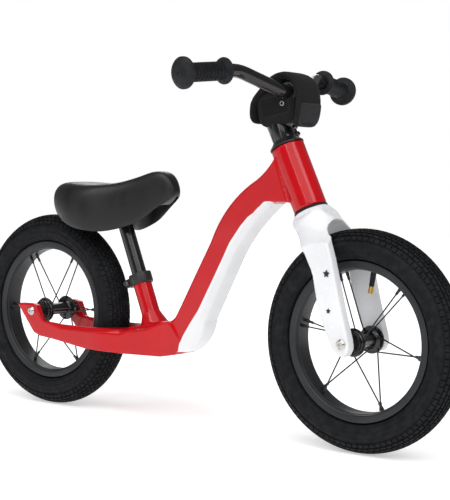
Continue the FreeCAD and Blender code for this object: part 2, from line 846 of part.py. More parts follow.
def make_headset():
    """Two bearings in the head tube, and the race, seal, ring and cover that close them."""
    low = size["head_bottom"]
    high = low + size["head_length"]
    width = size["headset_width"]
    gap = size["running_gap"]
    for label, level in (("lower", low), ("upper", high - width)):
        bearing = turned_about_z(
            f"{label}_bearing",
            ring(size["headset_inner"], size["headset_outer"] - size["press_gap"], 0, width),
        )
        keep(steered(bearing, 0, 0, level), f"{label}_headset_bearing")
    race_foot = low - gap - 2.5
    race = turned_about_z(
        "race",
        [
            (size["steerer_radius"] + size["press_gap"], 0),
            (19.5, 0),
            (19.5, 2.5),
            (size["headset_inner"] - 0.1, 2.5),
            (size["headset_inner"] - 0.1, 6),
            (size["steerer_radius"] + size["press_gap"], 6),
        ],
    )
    keep(steered(race, 0, 0, race_foot), "crown_race")
    seal = turned_about_z("seal", ring(19.7, size["head_radius"] + 0.4, 0, 2.3))
    keep(steered(seal, 0, 0, race_foot), "crown_seal")
    wedge = turned_about_z(
        "wedge",
        [
            (size["steerer_radius"] + 0.05, -5),
            (size["headset_inner"] - 0.1, -5),
            (size["headset_inner"] - 0.1, gap),
            (size["headset_inner"] + 2, gap),
            (size["headset_inner"] + 1, 1.5 + gap),
            (size["steerer_radius"] + 0.05, 1.5 + gap),
        ],
    )
    keep(steered(wedge, 0, 0, high), "compression_ring")
    cover = turned_about_z(
        "cover",
        [
            (size["steerer_radius"] + 0.05, 1.5),
            (size["headset_inner"] + 3, 1.5),
            (size["headset_inner"] + 3, 0),
            (size["head_radius"] + 0.6, 0),
            (size["head_radius"] + 0.6, 1.8),
            (size["stem_radius"] + 0.5, size["cover_height"]),
            (size["steerer_radius"] + 0.05, size["cover_height"]),
        ],
    )
    keep(steered(cover, 0, 0, high + gap), "headset_cover")


def make_fork():
    """The fork's crown and blades in one piece, with the steerer tube pressed into the crown."""
    crown_top = size["head_bottom"] - size["running_gap"] - 2.5
    body = new_body("fork_body")
    side = new_sketch(
        body,
        "fork_side",
        "XZ_Plane",
        [
            (-24, crown_top),
            (-24, crown_top - 8),
            (-9, 152),
            (-3, 130),
            (-2, 100),
            (-10, 66),
            (-14, 30),
            (-13, 0),
            (-8, -13),
            (1, -17),
            (10, -11),
            (14, 0),
            (20, 38),
            (28, 78),
            (34, 108),
            (38, 140),
            (38, 154),
            (33, 168),
            (24, crown_top - 6),
            (24, crown_top),
        ],
    )
    wide = size["fork_width"] / 2
    inner = size["fork_gap"] / 2
    add_pad(body, side, size["fork_width"])
    front = [
        (-24, crown_top),
        (-24, crown_top - 6),
        (-38, 176, 40),
        (-wide + 2, 150),
        (-wide, 60),
        (-wide, -20),
        (-inner, -20),
        (-inner, 126, -inner),
        (0, size["fork_gap"] / 2 + 126, -inner),
        (inner, 126),
        (inner, -20),
        (wide, -20),
        (wide, 60),
        (wide - 2, 150, 40),
        (38, 176),
        (24, crown_top - 6),
        (24, crown_top),
    ]
    around = new_sketch(body, "fork_front", "YZ_Plane", all_round(), front)
    add_pocket(body, around, 300)
    steered(body)
    shoulder = turned_about_z(
        "crown_shoulder",
        [
            (size["head_radius"] + 0.8, crown_top + 1),
            (size["head_radius"] + 0.8, crown_top - 1, -32),
            (34, 168, 95),
            (66, 126),
            (100, 126),
            (100, crown_top + 1),
        ],
    )
    steered(shoulder)
    bore = cylinder("crown_bore", size["steerer_radius"], 60)
    steered(bore, 0, 0, crown_top - 25)
    drill = cylinder(
        "front_axle_drill",
        size["axle_thread"] + 0.2,
        size["fork_width"] + 10,
        (FRONT_X, size["fork_width"] / 2 + 5, AXLE_HEIGHT),
        TO_RIGHT,
    )
    keep(cut("fork_cut", body, shoulder, bore, drill), "fork")

    steerer_foot = crown_top - 25
    steerer_top = size["head_bottom"] + size["head_length"] + size["cover_height"] + size["stem_height"]
    tube = turned_about_z(
        "steerer",
        ring(
            size["steerer_radius"] - size["steerer_wall"],
            size["steerer_radius"],
            0,
            steerer_top - steerer_foot - 2,
        ),
    )
    keep(steered(tube, 0, 0, steerer_foot), "steerer_tube")
    return steerer_top


def make_stem(steerer_top):
    """The stem on the steerer, its cap, its star nut and its pinch bolts."""
    foot = size["head_bottom"] + size["head_length"] + size["cover_height"] + size["running_gap"] + 0.2
    height = steerer_top - foot
    clamp = cylinder("stem_clamp", size["stem_radius"], height)
    steered(clamp, 0, 0, foot)
    half = size["bar_clamp_width"] / 2
    bar_ring = cylinder("stem_bar_ring", size["bar_clamp_radius"], size["bar_clamp_width"])
    steered(bar_ring, size["bar_forward"], half, size["bar_up"], TO_RIGHT)
    slope = Rotation(Vector(0, 1, 0), -135)
    arm = cylinder("stem_arm", 9.5, 46)
    steered(arm, size["bar_forward"], 0, size["bar_up"], slope)
    ears = box("stem_ears", (20, size["bar_clamp_width"], 26), (0, 0, 0))
    steered(ears, size["bar_forward"] + 7, -half, size["bar_up"] - 7, slope)
    lugs = box("stem_lugs", (20, 14, 22), (0, 0, 0))
    steered(lugs, -10, size["stem_radius"] - 7.5, foot)
    solid = fuse("stem_solid", clamp, bar_ring, arm, ears, lugs)
    bore = cylinder("stem_bore", size["steerer_radius"] + size["press_gap"], height + 10)
    steered(bore, 0, 0, foot - 5)
    room = cylinder("stem_cap_room", size["stem_radius"] + 0.5, 20)
    steered(room, 0, 0, steerer_top)
    bar_bore = cylinder("stem_bar_bore", size["bar_radius"] + size["press_gap"], size["bar_clamp_width"] + 4)
    steered(bar_bore, size["bar_forward"], half + 2, size["bar_up"], TO_RIGHT)
    slit = box("stem_slit", (2.4, 20, height + 10), (0, 0, 0))
    steered(slit, -1.2, size["stem_radius"] - 10, foot - 5)
    bar_slit = box("stem_bar_slit", (2.4, size["bar_clamp_width"] + 4, 24), (0, 0, 0))
    steered(bar_slit, size["bar_forward"] + 0.85, -half - 2, size["bar_up"] - 0.85, slope)
    levels = (foot + 6, foot + 16.5)
    drills = []
    for number, level in enumerate(levels, start=1):
        drill = cylinder(f"stem_drill_{number}", 2.55, 60)
        drills.append(steered(drill, -30, size["stem_radius"] + 2.5, level, TO_FRONT))
    pinch = cylinder("stem_pinch_drill", 3.05, 60)
    drills.append(steered(pinch, size["bar_forward"] - 11.5, 30, size["bar_up"] - 11.5, TO_RIGHT))
    stem = cut("stem_cut", solid, bore, room, bar_bore, slit, bar_slit, *drills)
    keep(stem, "stem")

    bolts = []
    for number, level in enumerate(levels, start=1):
        bolt = socket_bolt(f"stem_bolt_{number}", 2.5, 20, 4.3, 4, 2)
        steered(bolt, 10.02, size["stem_radius"] + 2.5, level, TO_FRONT)
        bolts.append(bolt)
    keep(group("stem_bolt_pair", *bolts), "stem_bolts")

    cap = turned_about_z(
        "cap",
        [
            (3.1, 0),
            (size["stem_radius"] - 0.5, 0),
            (size["stem_radius"] - 0.5, 2),
            (size["stem_radius"] - 3, 4),
            (3.1, 4),
        ],
    )
    keep(steered(cap, 0, 0, steerer_top + size["press_gap"]), "stem_cap")
    inside = size["steerer_radius"] - size["steerer_wall"] - size["press_gap"]
    star = turned_about_z("star", ring(3.05, inside, 0, 8))
    keep(steered(star, 0, 0, steerer_top - 22), "star_nut")
    bolt = socket_bolt("cap_bolt", 3, 22, 5.5, 3.5, 2.5)
    keep(steered(bolt, 0, 0, steerer_top + 4.1), "stem_cap_bolt")
    pinch_bolt = socket_bolt("pinch", 3, 30, 5, 4.5, 2.5)
    reach = size["bar_clamp_width"] / 2 + size["press_gap"]
    steered(pinch_bolt, size["bar_forward"] - 11.5, -reach, size["bar_up"] - 11.5, TO_RIGHT)
    keep(pinch_bolt, "bar_clamp_bolt")


def bar_route():
    """The handlebar's corners on one side, from its middle out: points in the row's own frame."""
    centre = on_steering_axis(size["bar_forward"], 0, size["bar_up"])
    start = Vector(*[number.value for number in centre])
    bend = Vector(-size["bar_bend_back"].value, size["bar_bend_side"].value, size["bar_bend_rise"].value)
    end = Vector(-size["bar_end_back"].value, size["bar_end_side"].value, size["bar_end_rise"].value)
    return [start + Vector(0, size["bar_middle"].value, 0), start + bend, start + end]


def rounded_path(points, radii):
    """Straight runs joined by tangent arcs, as one wire."""
    edges = []
    position = points[0]
    for number in range(1, len(points) - 1):
        corner = points[number]
        before = (corner - points[number - 1]).normalize()
        after = (points[number + 1] - corner).normalize()
        turn = before.getAngle(after)
        setback = radii[number - 1] * math.tan(turn / 2)
        first = corner - before * setback
        last = corner + after * setback
        outward = (before - after).normalize()
        middle = corner - outward * (radii[number - 1] * (1 / math.cos(turn / 2) - 1))
        edges.append(Part.LineSegment(position, first).toShape())
        edges.append(Part.Arc(first, middle, last).toShape())
        position = last
    edges.append(Part.LineSegment(position, points[-1]).toShape())
    return Part.Wire(edges)


def swept_disc(wire, radius):
    """A round rod along a wire that starts along Y."""
    start = wire.OrderedVertexes[0].Point
    direction = wire.OrderedEdges[0].tangentAt(wire.OrderedEdges[0].FirstParameter)
    profile = Part.Wire([Part.makeCircle(radius, start, direction)])
    return wire.makePipeShell([profile], True, False)


def make_handlebar():
    """A bent tube, the same on both sides, open at its ends."""
    right = bar_route()
    mirrored = [Vector(point.x, -point.y, point.z) for point in reversed(right)]
    points = mirrored + right
    path = rounded_path(points, [45, 30, 30, 45])
    outer = swept_disc(path, size["bar_radius"].value)
    inner = swept_disc(path, (size["bar_radius"] - size["bar_wall"]).value)
    bar = doc.addObject("Part::Feature", "handlebar_tube")
    bar.Shape = outer.cut(inner)
    keep(bar, "handlebar")


def make_grips():
    """Two rubber grips: a ribbed sleeve between a thin flange and a domed end cap."""
    route = bar_route()
    way = (route[2] - route[1]).normalize()
    end = route[2] + way * 11
    sleeve = size["grip_length"]
    hole = size["bar_radius"] + size["press_gap"]
    outline_points = [
        (2.2, 0),
        (size["grip_cap"] * 0.45, 0.8),
        (size["grip_cap"] * 0.85, 4),
        (size["grip_cap"], 8.5),
        (size["grip_cap"], 11.5),
        (size["grip_radius"] + 1.5, 14),
    ]
    ribs = 10
    rib_start, rib_step = 16, 6
    for number in range(ribs):
        low = rib_start + rib_step * number
        outline_points.append((size["grip_radius"] - 0.6, low))
        outline_points.append((size["grip_radius"] - 0.6, low + 1.6))
        outline_points.append((size["grip_radius"], low + 2.2))
        outline_points.append((size["grip_radius"], low + 5.4))
    outline_points += [
        (size["grip_radius"], sleeve - 6),
        (size["grip_flange"], sleeve - 4),
        (size["grip_flange"], sleeve - 1.2),
        (size["grip_radius"] + 0.5, sleeve),
        (hole, sleeve),
        (hole, 10.6),
        (2.2, 10.6),
    ]
    grip = turned_about_z("grip_left", outline_points)
    turn = Rotation(Vector(0, 0, 1), -way)
    place(grip, (end.x, end.y, end.z), turn)
    keep(grip, "left_grip")
    keep(across_symmetry("grip_right", grip), "right_grip")


def make_bar_pad():
    """The soft wrap over the stem and the bar's middle: one thick band folded over the top."""
    body = new_body("pad_body")
    thick = size["pad_thickness"]
    sketch = new_sketch(
        body,
        "pad_side",
        "XZ_Plane",
        [
            (184, 432, 30),
            (196, 452, 150),
            (194, 486, 40),
            (174, 508, 60),
            (150, 506, 60),
            (122, 486),
            (110, 466),
            (113, 436),
            (113 + thick * 0.7, 436),
            (110 + thick * 0.7, 463),
            (131, 480),
            (153, 507 - thick, -60),
            (171, 508 - thick, -26),
            (195 - thick, 484),
            (195 - thick, 462),
            (186 - thick, 440),
        ],
    )
    add_pad(body, sketch, size["pad_half_width"] * 2)
    keep(body, "handlebar_pad")


# ---------------------------------------------------------------- saddle and seat post


def make_seat():
    """The seat post, the clamp round the seat tube's top, and the saddle with its base and bracket."""
    top = size["seat_tube_length"]
    post_foot = top + size["post_exposed"] - size["post_length"]
    post = turned_about_z(
        "post",
        ring(size["post_radius"] - size["post_wall"], size["post_radius"], 0, size["post_length"]),
    )
    keep(place(post, along_seat(post_foot), SEAT_TURN), "seat_post")

    height = size["collar_height"]
    collar = cylinder("collar_ring", size["collar_radius"], height)
    place(collar, along_seat(top - height + 3), SEAT_TURN)
    ears = box("collar_ears", (12, 19, height - 4), along_seat(top - height + 5, -26, -9.5), SEAT_TURN)
    lip = cylinder("collar_bore", size["seat_tube_radius"] + size["press_gap"], height)
    place(lip, along_seat(top - height), SEAT_TURN)
    hole = cylinder("collar_post_hole", size["post_radius"] + 0.3, height + 10)
    place(hole, along_seat(top - height - 2), SEAT_TURN)
    slit = box("collar_slit", (20, 3, height + 10), along_seat(top - height - 2, -34, -1.5), SEAT_TURN)
    bolt_level = top - height / 2 + 3
    drill = cylinder("collar_drill", 2.6, 30)
    place(drill, along_seat(bolt_level, -21.5, 15), SEAT_TURN.multiply(TO_RIGHT))
    solid = fuse("collar_solid", collar, ears)
    keep(cut("collar_cut", solid, lip, hole, slit, drill), "seat_clamp")
    bolt = socket_bolt("collar_bolt", 2.5, 22, 4.6, 4, 2)
    place(bolt, along_seat(bolt_level, -21.5, -9.6), SEAT_TURN.multiply(TO_RIGHT))
    keep(bolt, "seat_clamp_bolt")
    nut = turned_about_z("collar_nut", ring(2.55, 4.8, 0, 4))
    place(nut, along_seat(bolt_level, -21.5, 9.6), SEAT_TURN.multiply(TO_LEFT))
    keep(nut, "seat_clamp_nut")

    make_saddle()


def make_saddle():
    """A deep padded cover over a plastic base, screwed to a steel bracket on the post."""
    cover = new_body("cover_body")
    rear = size["saddle_rear"]
    nose = size["saddle_nose"]
    side = new_sketch(
        cover,
        "cover_side",
        "XZ_Plane",
        [
            (nose, 338, 40),
            (nose - 8, 358, 30),
            (nose - 36, 371, -220),
            (rear + 90, 350.5, 300),
            (rear + 26, 352, 30),
            (rear, 328),
            (rear + 20, 307),
            (rear + 64, 286, 90),
            (nose - 112, 279.5, 120),
            (nose - 52, 299),
            (nose - 24, 321),
        ],
    )
    add_pad(cover, side, size["saddle_half_width"] * 2)
    wide = size["saddle_half_width"]
    slim = size["saddle_nose_half_width"]
    plan = [
        (rear, 0, 56),
        (rear + 66, -wide, 90),
        (rear + 140, -wide + 26, -160),
        (nose - 22, -slim, 22),
        (nose, 0, 22),
        (nose - 22, slim, -160),
        (rear + 140, wide - 26, 90),
        (rear + 66, wide, 56),
    ]
    around = new_sketch(cover, "cover_plan", "XY_Plane", all_round(), plan)
    add_pocket(cover, around, 900)
    skin = size["saddle_skin"]
    hollow = new_sketch(
        cover,
        "cover_hollow",
        "XY_Plane",
        [
            (rear + skin + 4, 0, 44),
            (rear + 66, -wide + skin, 80),
            (rear + 136, -wide + 26 + skin * 0.8, -160),
            (nose - 44, -slim + skin * 0.8, 20),
            (nose - 36, 0, 20),
            (nose - 44, slim - skin * 0.8, -160),
            (rear + 136, wide - 26 - skin * 0.8, 80),
            (rear + 66, wide - skin, 44),
        ],
    )
    add_pocket(cover, hollow, size["saddle_hollow_top"] * 2)
    keep(cover, "saddle_cover")

    base = new_body("base_body")
    plan = new_sketch(
        base,
        "base_plan",
        "XY_Plane",
        [
            (rear + skin + 6, 0, 43),
            (rear + 66, -wide + skin + 1.5, 80),
            (rear + 136, -wide + 27.5 + skin * 0.8, -160),
            (nose - 48, -slim + skin * 0.8 + 1.5, 19),
            (nose - 41, 0, 19),
            (nose - 48, slim - skin * 0.8 - 1.5, -160),
            (rear + 136, wide - 27.5 - skin * 0.8, 80),
            (rear + 66, wide - skin - 1.5, 43),
        ],
        lift=size["saddle_base_height"],
    )
    add_pad(base, plan, size["saddle_base_plate"])

    length, width = size["bracket_length"], size["bracket_width"]
    middle_x = -size["seat_foot_back"] - length
    under = size["bracket_top"] - size["bracket_plate"]
    plate = box(
        "bracket_flat",
        (length, width, size["bracket_plate"]),
        (middle_x - length / 2, -width / 2, under),
    )
    post_top = size["seat_tube_length"] + size["post_exposed"]
    boss = cylinder("bracket_boss", size["post_radius"] + 3, 26)
    place(boss, along_seat(post_top - 16), SEAT_TURN)
    above = box("bracket_trim", (length * 2, width * 2, 30), (middle_x - length, -width, size["bracket_top"]))
    socket = cylinder("bracket_socket", size["post_radius"] + size["press_gap"], 20)
    place(socket, along_seat(post_top + size["press_gap"] - 20), SEAT_TURN)
    solid = fuse("bracket_solid", plate, boss)
    screws, drills = [], []
    for forward in (-1, 1):
        for side_sign in (-1, 1):
            number = len(screws) + 1
            where = (middle_x + forward * 26, side_sign * 10.5, under - size["bolt_gap"])
            screw = socket_bolt(f"saddle_screw_{number}", 2.4, 7, 4.4, 3, 2)
            screws.append(place(screw, where, Rotation(Vector(1, 0, 0), 180)))
            drills.append(cylinder(f"saddle_drill_{number}", 2.4 + size["bolt_gap"], 7.5, where))
    keep(cut("bracket_cut", solid, above, socket, *drills), "saddle_bracket")
    keep(cut("base_cut", base, *drills), "saddle_base")
    keep(group("saddle_screw_set", *screws), "saddle_screws")


# ---------------------------------------------------------------- build and write

make_frame()
make_headset()
steerer_end = make_fork()
make_stem(steerer_end)
make_handlebar()
make_grips()
make_bar_pad()
make_seat()
make_wheel("rear", REAR_X, 2, 332)
make_wheel("front", FRONT_X, -10, 81)
make_axle("rear", REAR_X, size["stay_gap"], size["stay_width"])
make_axle("front", FRONT_X, size["fork_gap"], size["fork_width"])
doc.recompute()

for item in doc.Objects:
    if "Invalid" in item.State or "Error" in item.State:
        raise RuntimeError(f"{item.Label} has failed: {item.State}")
os.makedirs("parts", exist_ok=True)
for part in subparts:
    if part.Shape.isNull() or not part.Shape.isValid():
        raise RuntimeError(f"{part.Label} has no valid shape")
    part.Shape.exportStep(f"parts/{part.Label}.step")
print(len(subparts), "sub-parts written")
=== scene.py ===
"""Builds the looks of a child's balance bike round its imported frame."""

import json
import math

import bmesh
import bpy
from bpy.props import FloatProperty, FloatVectorProperty, IntProperty, PointerProperty
from mathutils import Matrix, Vector

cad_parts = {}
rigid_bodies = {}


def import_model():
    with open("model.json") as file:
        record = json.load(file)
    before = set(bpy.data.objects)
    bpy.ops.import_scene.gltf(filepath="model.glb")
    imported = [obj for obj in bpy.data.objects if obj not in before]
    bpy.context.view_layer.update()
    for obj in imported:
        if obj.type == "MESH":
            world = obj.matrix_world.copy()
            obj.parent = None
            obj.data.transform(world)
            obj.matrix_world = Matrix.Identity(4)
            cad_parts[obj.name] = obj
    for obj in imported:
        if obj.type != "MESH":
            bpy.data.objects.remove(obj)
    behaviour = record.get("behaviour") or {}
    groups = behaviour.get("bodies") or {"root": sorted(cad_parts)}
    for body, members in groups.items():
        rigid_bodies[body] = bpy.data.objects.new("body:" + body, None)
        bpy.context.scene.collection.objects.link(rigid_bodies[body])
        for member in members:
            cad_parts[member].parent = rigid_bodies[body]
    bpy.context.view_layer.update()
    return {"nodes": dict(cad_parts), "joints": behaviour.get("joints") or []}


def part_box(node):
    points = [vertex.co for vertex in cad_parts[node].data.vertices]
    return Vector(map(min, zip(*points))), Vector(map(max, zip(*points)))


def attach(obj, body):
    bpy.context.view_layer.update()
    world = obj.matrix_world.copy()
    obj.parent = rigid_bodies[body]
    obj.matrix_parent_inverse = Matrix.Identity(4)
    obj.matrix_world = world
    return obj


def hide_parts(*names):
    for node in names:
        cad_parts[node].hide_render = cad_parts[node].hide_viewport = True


bl_info = {
    "name": "Balance Bike",
    "version": (1, 0, 0),
    "blender": (4, 5, 0),
    "location": "View3D > Sidebar > Bike",
    "description": "Builds the pieces and finishes of a child's balance bike",
    "category": "Object",
}

for leftover in list(bpy.data.objects):
    bpy.data.objects.remove(leftover)
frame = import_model()
nodes = frame["nodes"]
joints = {joint["name"]: joint for joint in frame["joints"]}

FRONT_AXLE = Vector(joints["front_wheel_spin"]["pos_m"])
REAR_AXLE = Vector(joints["rear_wheel_spin"]["pos_m"])
STEER_FOOT = Vector(joints["steering"]["pos_m"])
STEER_UP = Vector(joints["steering"]["axis"]).normalized()
ACROSS = Vector((0, 1, 0))
STEER_AHEAD = ACROSS.cross(STEER_UP).normalized()
MM = 0.001


def on_steering_axis(ahead, side, up):
    """A point ahead of, beside and along the steering axis from the axle's level, in millimetres."""
    return STEER_FOOT + (STEER_AHEAD * ahead + ACROSS * side + STEER_UP * up) * MM


# ---- what a user would change


class BikeSizes(bpy.types.PropertyGroup):
    tread_blocks: IntProperty(
        name="Tread blocks", description="Blocks in one row round a tyre", default=96, min=24
    )
    tread_depth: FloatProperty(
        name="Tread depth", description="Height of the tread blocks", default=0.0022, unit="LENGTH"
    )
    tread_gap: FloatProperty(
        name="Tread gap", description="Groove between two tread blocks", default=0.0019, unit="LENGTH"
    )
    edge_rounds: IntProperty(
        name="Edge rounds", description="Smoothing passes that round the castings' edges", default=7, min=0
    )
    pad_swell: FloatProperty(
        name="Pad swell", description="How far the handlebar pad's cloth may bulge",
        default=0.004, unit="LENGTH",
    )


class BikeColours(bpy.types.PropertyGroup):
    frame_red: FloatVectorProperty(
        name="Frame red", description="Main paint of the frame", subtype="COLOR", default=(0.50, 0.001, 0.006)
    )
    frame_white: FloatVectorProperty(
        name="White", description="Paint of the fork and of the frame's front", subtype="COLOR",
        default=(0.80, 0.81, 0.83),
    )
    black: FloatVectorProperty(
        name="Black", description="Paint of the metal trim", subtype="COLOR", default=(0.006, 0.006, 0.007)
    )
    rim_grey: FloatVectorProperty(
        name="Rim grey", description="Coating of the rims", subtype="COLOR", default=(0.030, 0.032, 0.035)
    )
    rubber: FloatVectorProperty(
        name="Rubber", description="Tyres and grips", subtype="COLOR", default=(0.009, 0.0095, 0.011)
    )
    saddle_black: FloatVectorProperty(
        name="Saddle black", description="Skin of the saddle", subtype="COLOR", default=(0.007, 0.0073, 0.008)
    )


# ---- finishes


# The places of the colour sockets on a mix node.
MIX_FIRST, MIX_SECOND, MIX_RESULT = 6, 7, 2


class Finish:
    """A material whose nodes are added one call at a time."""

    def __init__(self, name, **surface):
        self.material = bpy.data.materials.new(name)
        self.material.use_nodes = True
        self.tree = self.material.node_tree
        self.shader = next(node for node in self.tree.nodes if node.type == "BSDF_PRINCIPLED")
        self.place = self.node("ShaderNodeTexCoord").outputs["Object"]
        for word, value in surface.items():
            self.shader.inputs[word.replace("_", " ")].default_value = value

    def node(self, kind, **choices):
        made = self.tree.nodes.new(kind)
        for word, value in choices.items():
            setattr(made, word, value)
        return made

    def feed(self, socket, value):
        if isinstance(value, bpy.types.NodeSocket):
            self.tree.links.new(value, socket)
        elif hasattr(value, "__len__") and len(value) == 3 and len(socket.default_value) == 4:
            socket.default_value = (*value, 1)
        else:
            socket.default_value = value

    def surface(self, word, value):
        self.feed(self.shader.inputs[word], value)

    def stretched(self, stretch, turn=(0, 0, 0), centre=(0, 0, 0)):
        """Object coordinates, moved to a centre, turned, and scaled along each axis."""
        mapping = self.node("ShaderNodeMapping", vector_type="TEXTURE")
        self.feed(mapping.inputs["Vector"], self.place)
        mapping.inputs["Location"].default_value = centre
        mapping.inputs["Rotation"].default_value = turn
        mapping.inputs["Scale"].default_value = [1 / number for number in stretch]
        return mapping.outputs["Vector"]

    def texture(self, kind, place, output, choices, **numbers):
        made = self.node(kind, **choices)
        self.feed(made.inputs["Vector"], place or self.place)
        for word, number in numbers.items():
            made.inputs[word].default_value = number
        return made.outputs[output]

    def noise(self, scale, detail=3.0, place=None):
        return self.texture("ShaderNodeTexNoise", place, "Fac", {}, Scale=scale, Detail=detail)

    def cells(self, scale, feature):
        return self.texture("ShaderNodeTexVoronoi", None, "Distance", {"feature": feature}, Scale=scale)

    def wave(self, place, scale, direction, distortion=0.0):
        choices = {"bands_direction": direction}
        return self.texture("ShaderNodeTexWave", place, "Fac", choices, Scale=scale, Distortion=distortion)

    def spread(self, value, low, high, to_low=0.0, to_high=1.0, kind="SMOOTHSTEP"):
        """Maps a range of a value to another range."""
        span = self.node("ShaderNodeMapRange", interpolation_type=kind)
        self.feed(span.inputs["Value"], value)
        for word, number in (("From Min", low), ("From Max", high), ("To Min", to_low), ("To Max", to_high)):
            span.inputs[word].default_value = number
        return span.outputs["Result"]

    def maths(self, operation, first, second=0.0):
        node = self.node("ShaderNodeMath", operation=operation)
        self.feed(node.inputs[0], first)
        self.feed(node.inputs[1], second)
        return node.outputs[0]

    def axis(self, letter, place=None):
        parts = self.node("ShaderNodeSeparateXYZ")
        self.feed(parts.inputs[0], place or self.place)
        return parts.outputs[letter]

    def mix(self, amount, first, second):
        node = self.node("ShaderNodeMix", data_type="RGBA")
        self.feed(node.inputs[0], amount)
        self.feed(node.inputs[MIX_FIRST], first)
        self.feed(node.inputs[MIX_SECOND], second)
        return node.outputs[MIX_RESULT]

    def bumped(self, height, depth, strength=1.0, after=None):
        """A normal bumped by a height, for the shader or for a further bump."""
        bump = self.node("ShaderNodeBump")
        bump.inputs["Distance"].default_value = depth
        bump.inputs["Strength"].default_value = strength
        self.feed(bump.inputs["Height"], height)
        if after is not None:
            self.feed(bump.inputs["Normal"], after)
        return bump.outputs["Normal"]

    def soft_edge(self, radius):
        bevel = self.node("ShaderNodeBevel")
        bevel.inputs["Radius"].default_value = radius
        return bevel.outputs["Normal"]

    def shaded(self, colour, amount=0.25, scale=30.0):
        """A colour that drifts a little lighter and darker over the surface."""
        dark = [part * (1 - amount) for part in colour]
        light = [min(1, part * (1 + amount)) for part in colour]
        return self.mix(self.spread(self.noise(scale), 0.3, 0.7), dark, light)

    def worn(self, scale, detail, low, high, top=0.75):
        """A roughness that drifts between two values over the surface."""
        self.surface("Roughness", self.spread(self.noise(scale, detail), 0.3, top, low, high))

    def grained(self, scale, detail, depth, strength, edge=0):
        """A fine grain, over edges that look rounded to a radius."""
        grain = self.noise(scale, detail)
        self.surface("Normal", self.bumped(grain, depth, strength, self.soft_edge(edge) if edge else None))


def dark_of(colour, share):
    """A colour with each of its parts multiplied by a share."""
    return [part * share for part in colour]


def gloss_paint(name, colour):
    """Lacquered paint with a faint orange peel."""
    paint = Finish(name, Coat_Weight=0.35, Coat_Roughness=0.06, Specular_IOR_Level=0.3)
    paint.surface("Base Color", paint.shaded(colour, 0.04, 18))
    paint.worn(60, 4, 0.2, 0.34)
    paint.grained(700, 2, 0.00004, 0.5, edge=0.0012)
    return paint.material


# The border between red and white on the beam, as (height, distance ahead) in metres.
PAINT_BORDER = [
    (0.1, 0.17), (0.107, 0.17), (0.1085, -0.0135), (0.1205, -0.011), (0.1335, -0.0045), (0.1515, 0.0075),
    (0.172, 0.0225), (0.219, 0.0485), (0.25, 0.0655), (0.272, 0.077), (0.296, 0.0955), (0.309, 0.108),
    (0.32, 0.125), (0.3285, 0.139), (0.334, 0.1545), (0.34, 0.17),
]


def casting_paint(name, red, white):
    """Red lacquer, with white on the beam's front and lower bevels, up to a drawn border."""
    paint = Finish(name, Coat_Weight=0.28, Coat_Roughness=0.06, Specular_IOR_Level=0.25)
    low, high = PAINT_BORDER[0][0], PAINT_BORDER[-1][0]
    rear, ahead = -0.03, PAINT_BORDER[0][1]
    places = [((up - low) / (high - low), (along - rear) / (ahead - rear)) for up, along in PAINT_BORDER]
    border = paint.node("ShaderNodeFloatCurve")
    paint.feed(border.inputs["Value"], paint.spread(paint.axis("Z"), low, high, kind="LINEAR"))
    curve = border.mapping.curves[0]
    curve.points[0].location, curve.points[1].location = places[0], places[-1]
    for place in places[1:-1]:
        curve.points.new(*place)
    for point in curve.points:
        point.handle_type = "VECTOR"
    border.mapping.update()
    along = paint.spread(paint.axis("X"), rear, ahead, kind="LINEAR")
    past = paint.maths("SUBTRACT", along, border.outputs["Value"])
    drawn = paint.spread(past, -0.003, 0.003)
    inside_flats = paint.spread(paint.maths("ABSOLUTE", paint.axis("Y")), 0.02205, 0.02235, 1.0, 0.0)
    on_bevel = paint.maths("MULTIPLY", inside_flats, paint.spread(past, -0.09, -0.085))
    behind_head = paint.spread(paint.axis("X"), 0.1465, 0.147, 1.0, 0.0)
    amount = paint.maths("MULTIPLY", paint.maths("MAXIMUM", drawn, on_bevel), behind_head)
    colour = paint.mix(amount, paint.shaded(red, 0.05, 14), paint.shaded(white, 0.03, 20))
    paint.surface("Base Color", colour)
    paint.worn(50, 4, 0.16, 0.24)
    paint.grained(420, 3, 0.00006, 0.6, edge=0.001)
    return paint.material


def black_gloss(name, colour):
    """Thick black lacquer with a few dust specks."""
    paint = Finish(name, Coat_Weight=0.35, Coat_Roughness=0.05, Specular_IOR_Level=0.4)
    specks = paint.spread(paint.noise(1500, 1), 0.74, 0.8)
    paint.surface("Base Color", paint.mix(specks, paint.shaded(colour, 0.2, 25), dark_of((1, 1, 1), 0.05)))
    paint.worn(80, 4, 0.16, 0.26)
    paint.grained(600, 2, 0.00004, 0.5, edge=0.0006)
    return paint.material


def black_satin(name, colour):
    """Satin powder coat, rougher and finely pebbled."""
    paint = Finish(name)
    paint.surface("Base Color", paint.shaded(dark_of(colour, 1.8), 0.3, 60))
    paint.worn(150, 4, 0.38, 0.52)
    paint.grained(1800, 3, 0.00006, 0.6, edge=0.0005)
    return paint.material


def rim_coating(name, colour, axle):
    """Dark anodised alloy with faint rings from turning."""
    coat = Finish(name, Metallic=0.55, Specular_IOR_Level=0.5)
    spot = coat.stretched((1, 1, 1), centre=axle)
    across, up = coat.axis("X", spot), coat.axis("Z", spot)
    squares = coat.maths("ADD", coat.maths("MULTIPLY", across, across), coat.maths("MULTIPLY", up, up))
    radius = coat.maths("SQRT", squares)
    combined = coat.node("ShaderNodeCombineXYZ")
    coat.feed(combined.inputs[0], radius)
    coat.feed(combined.inputs[1], coat.axis("Y", spot))
    rings = coat.noise(2600, 2, combined.outputs[0])
    coat.surface("Base Color", coat.shaded(colour, 0.15, 20))
    coat.surface("Roughness", coat.spread(rings, 0.3, 0.7, 0.34, 0.5))
    fine = coat.bumped(rings, 0.00003, 0.4)
    coat.surface("Normal", coat.bumped(coat.noise(900, 3), 0.00004, 0.4, fine))
    return coat.material


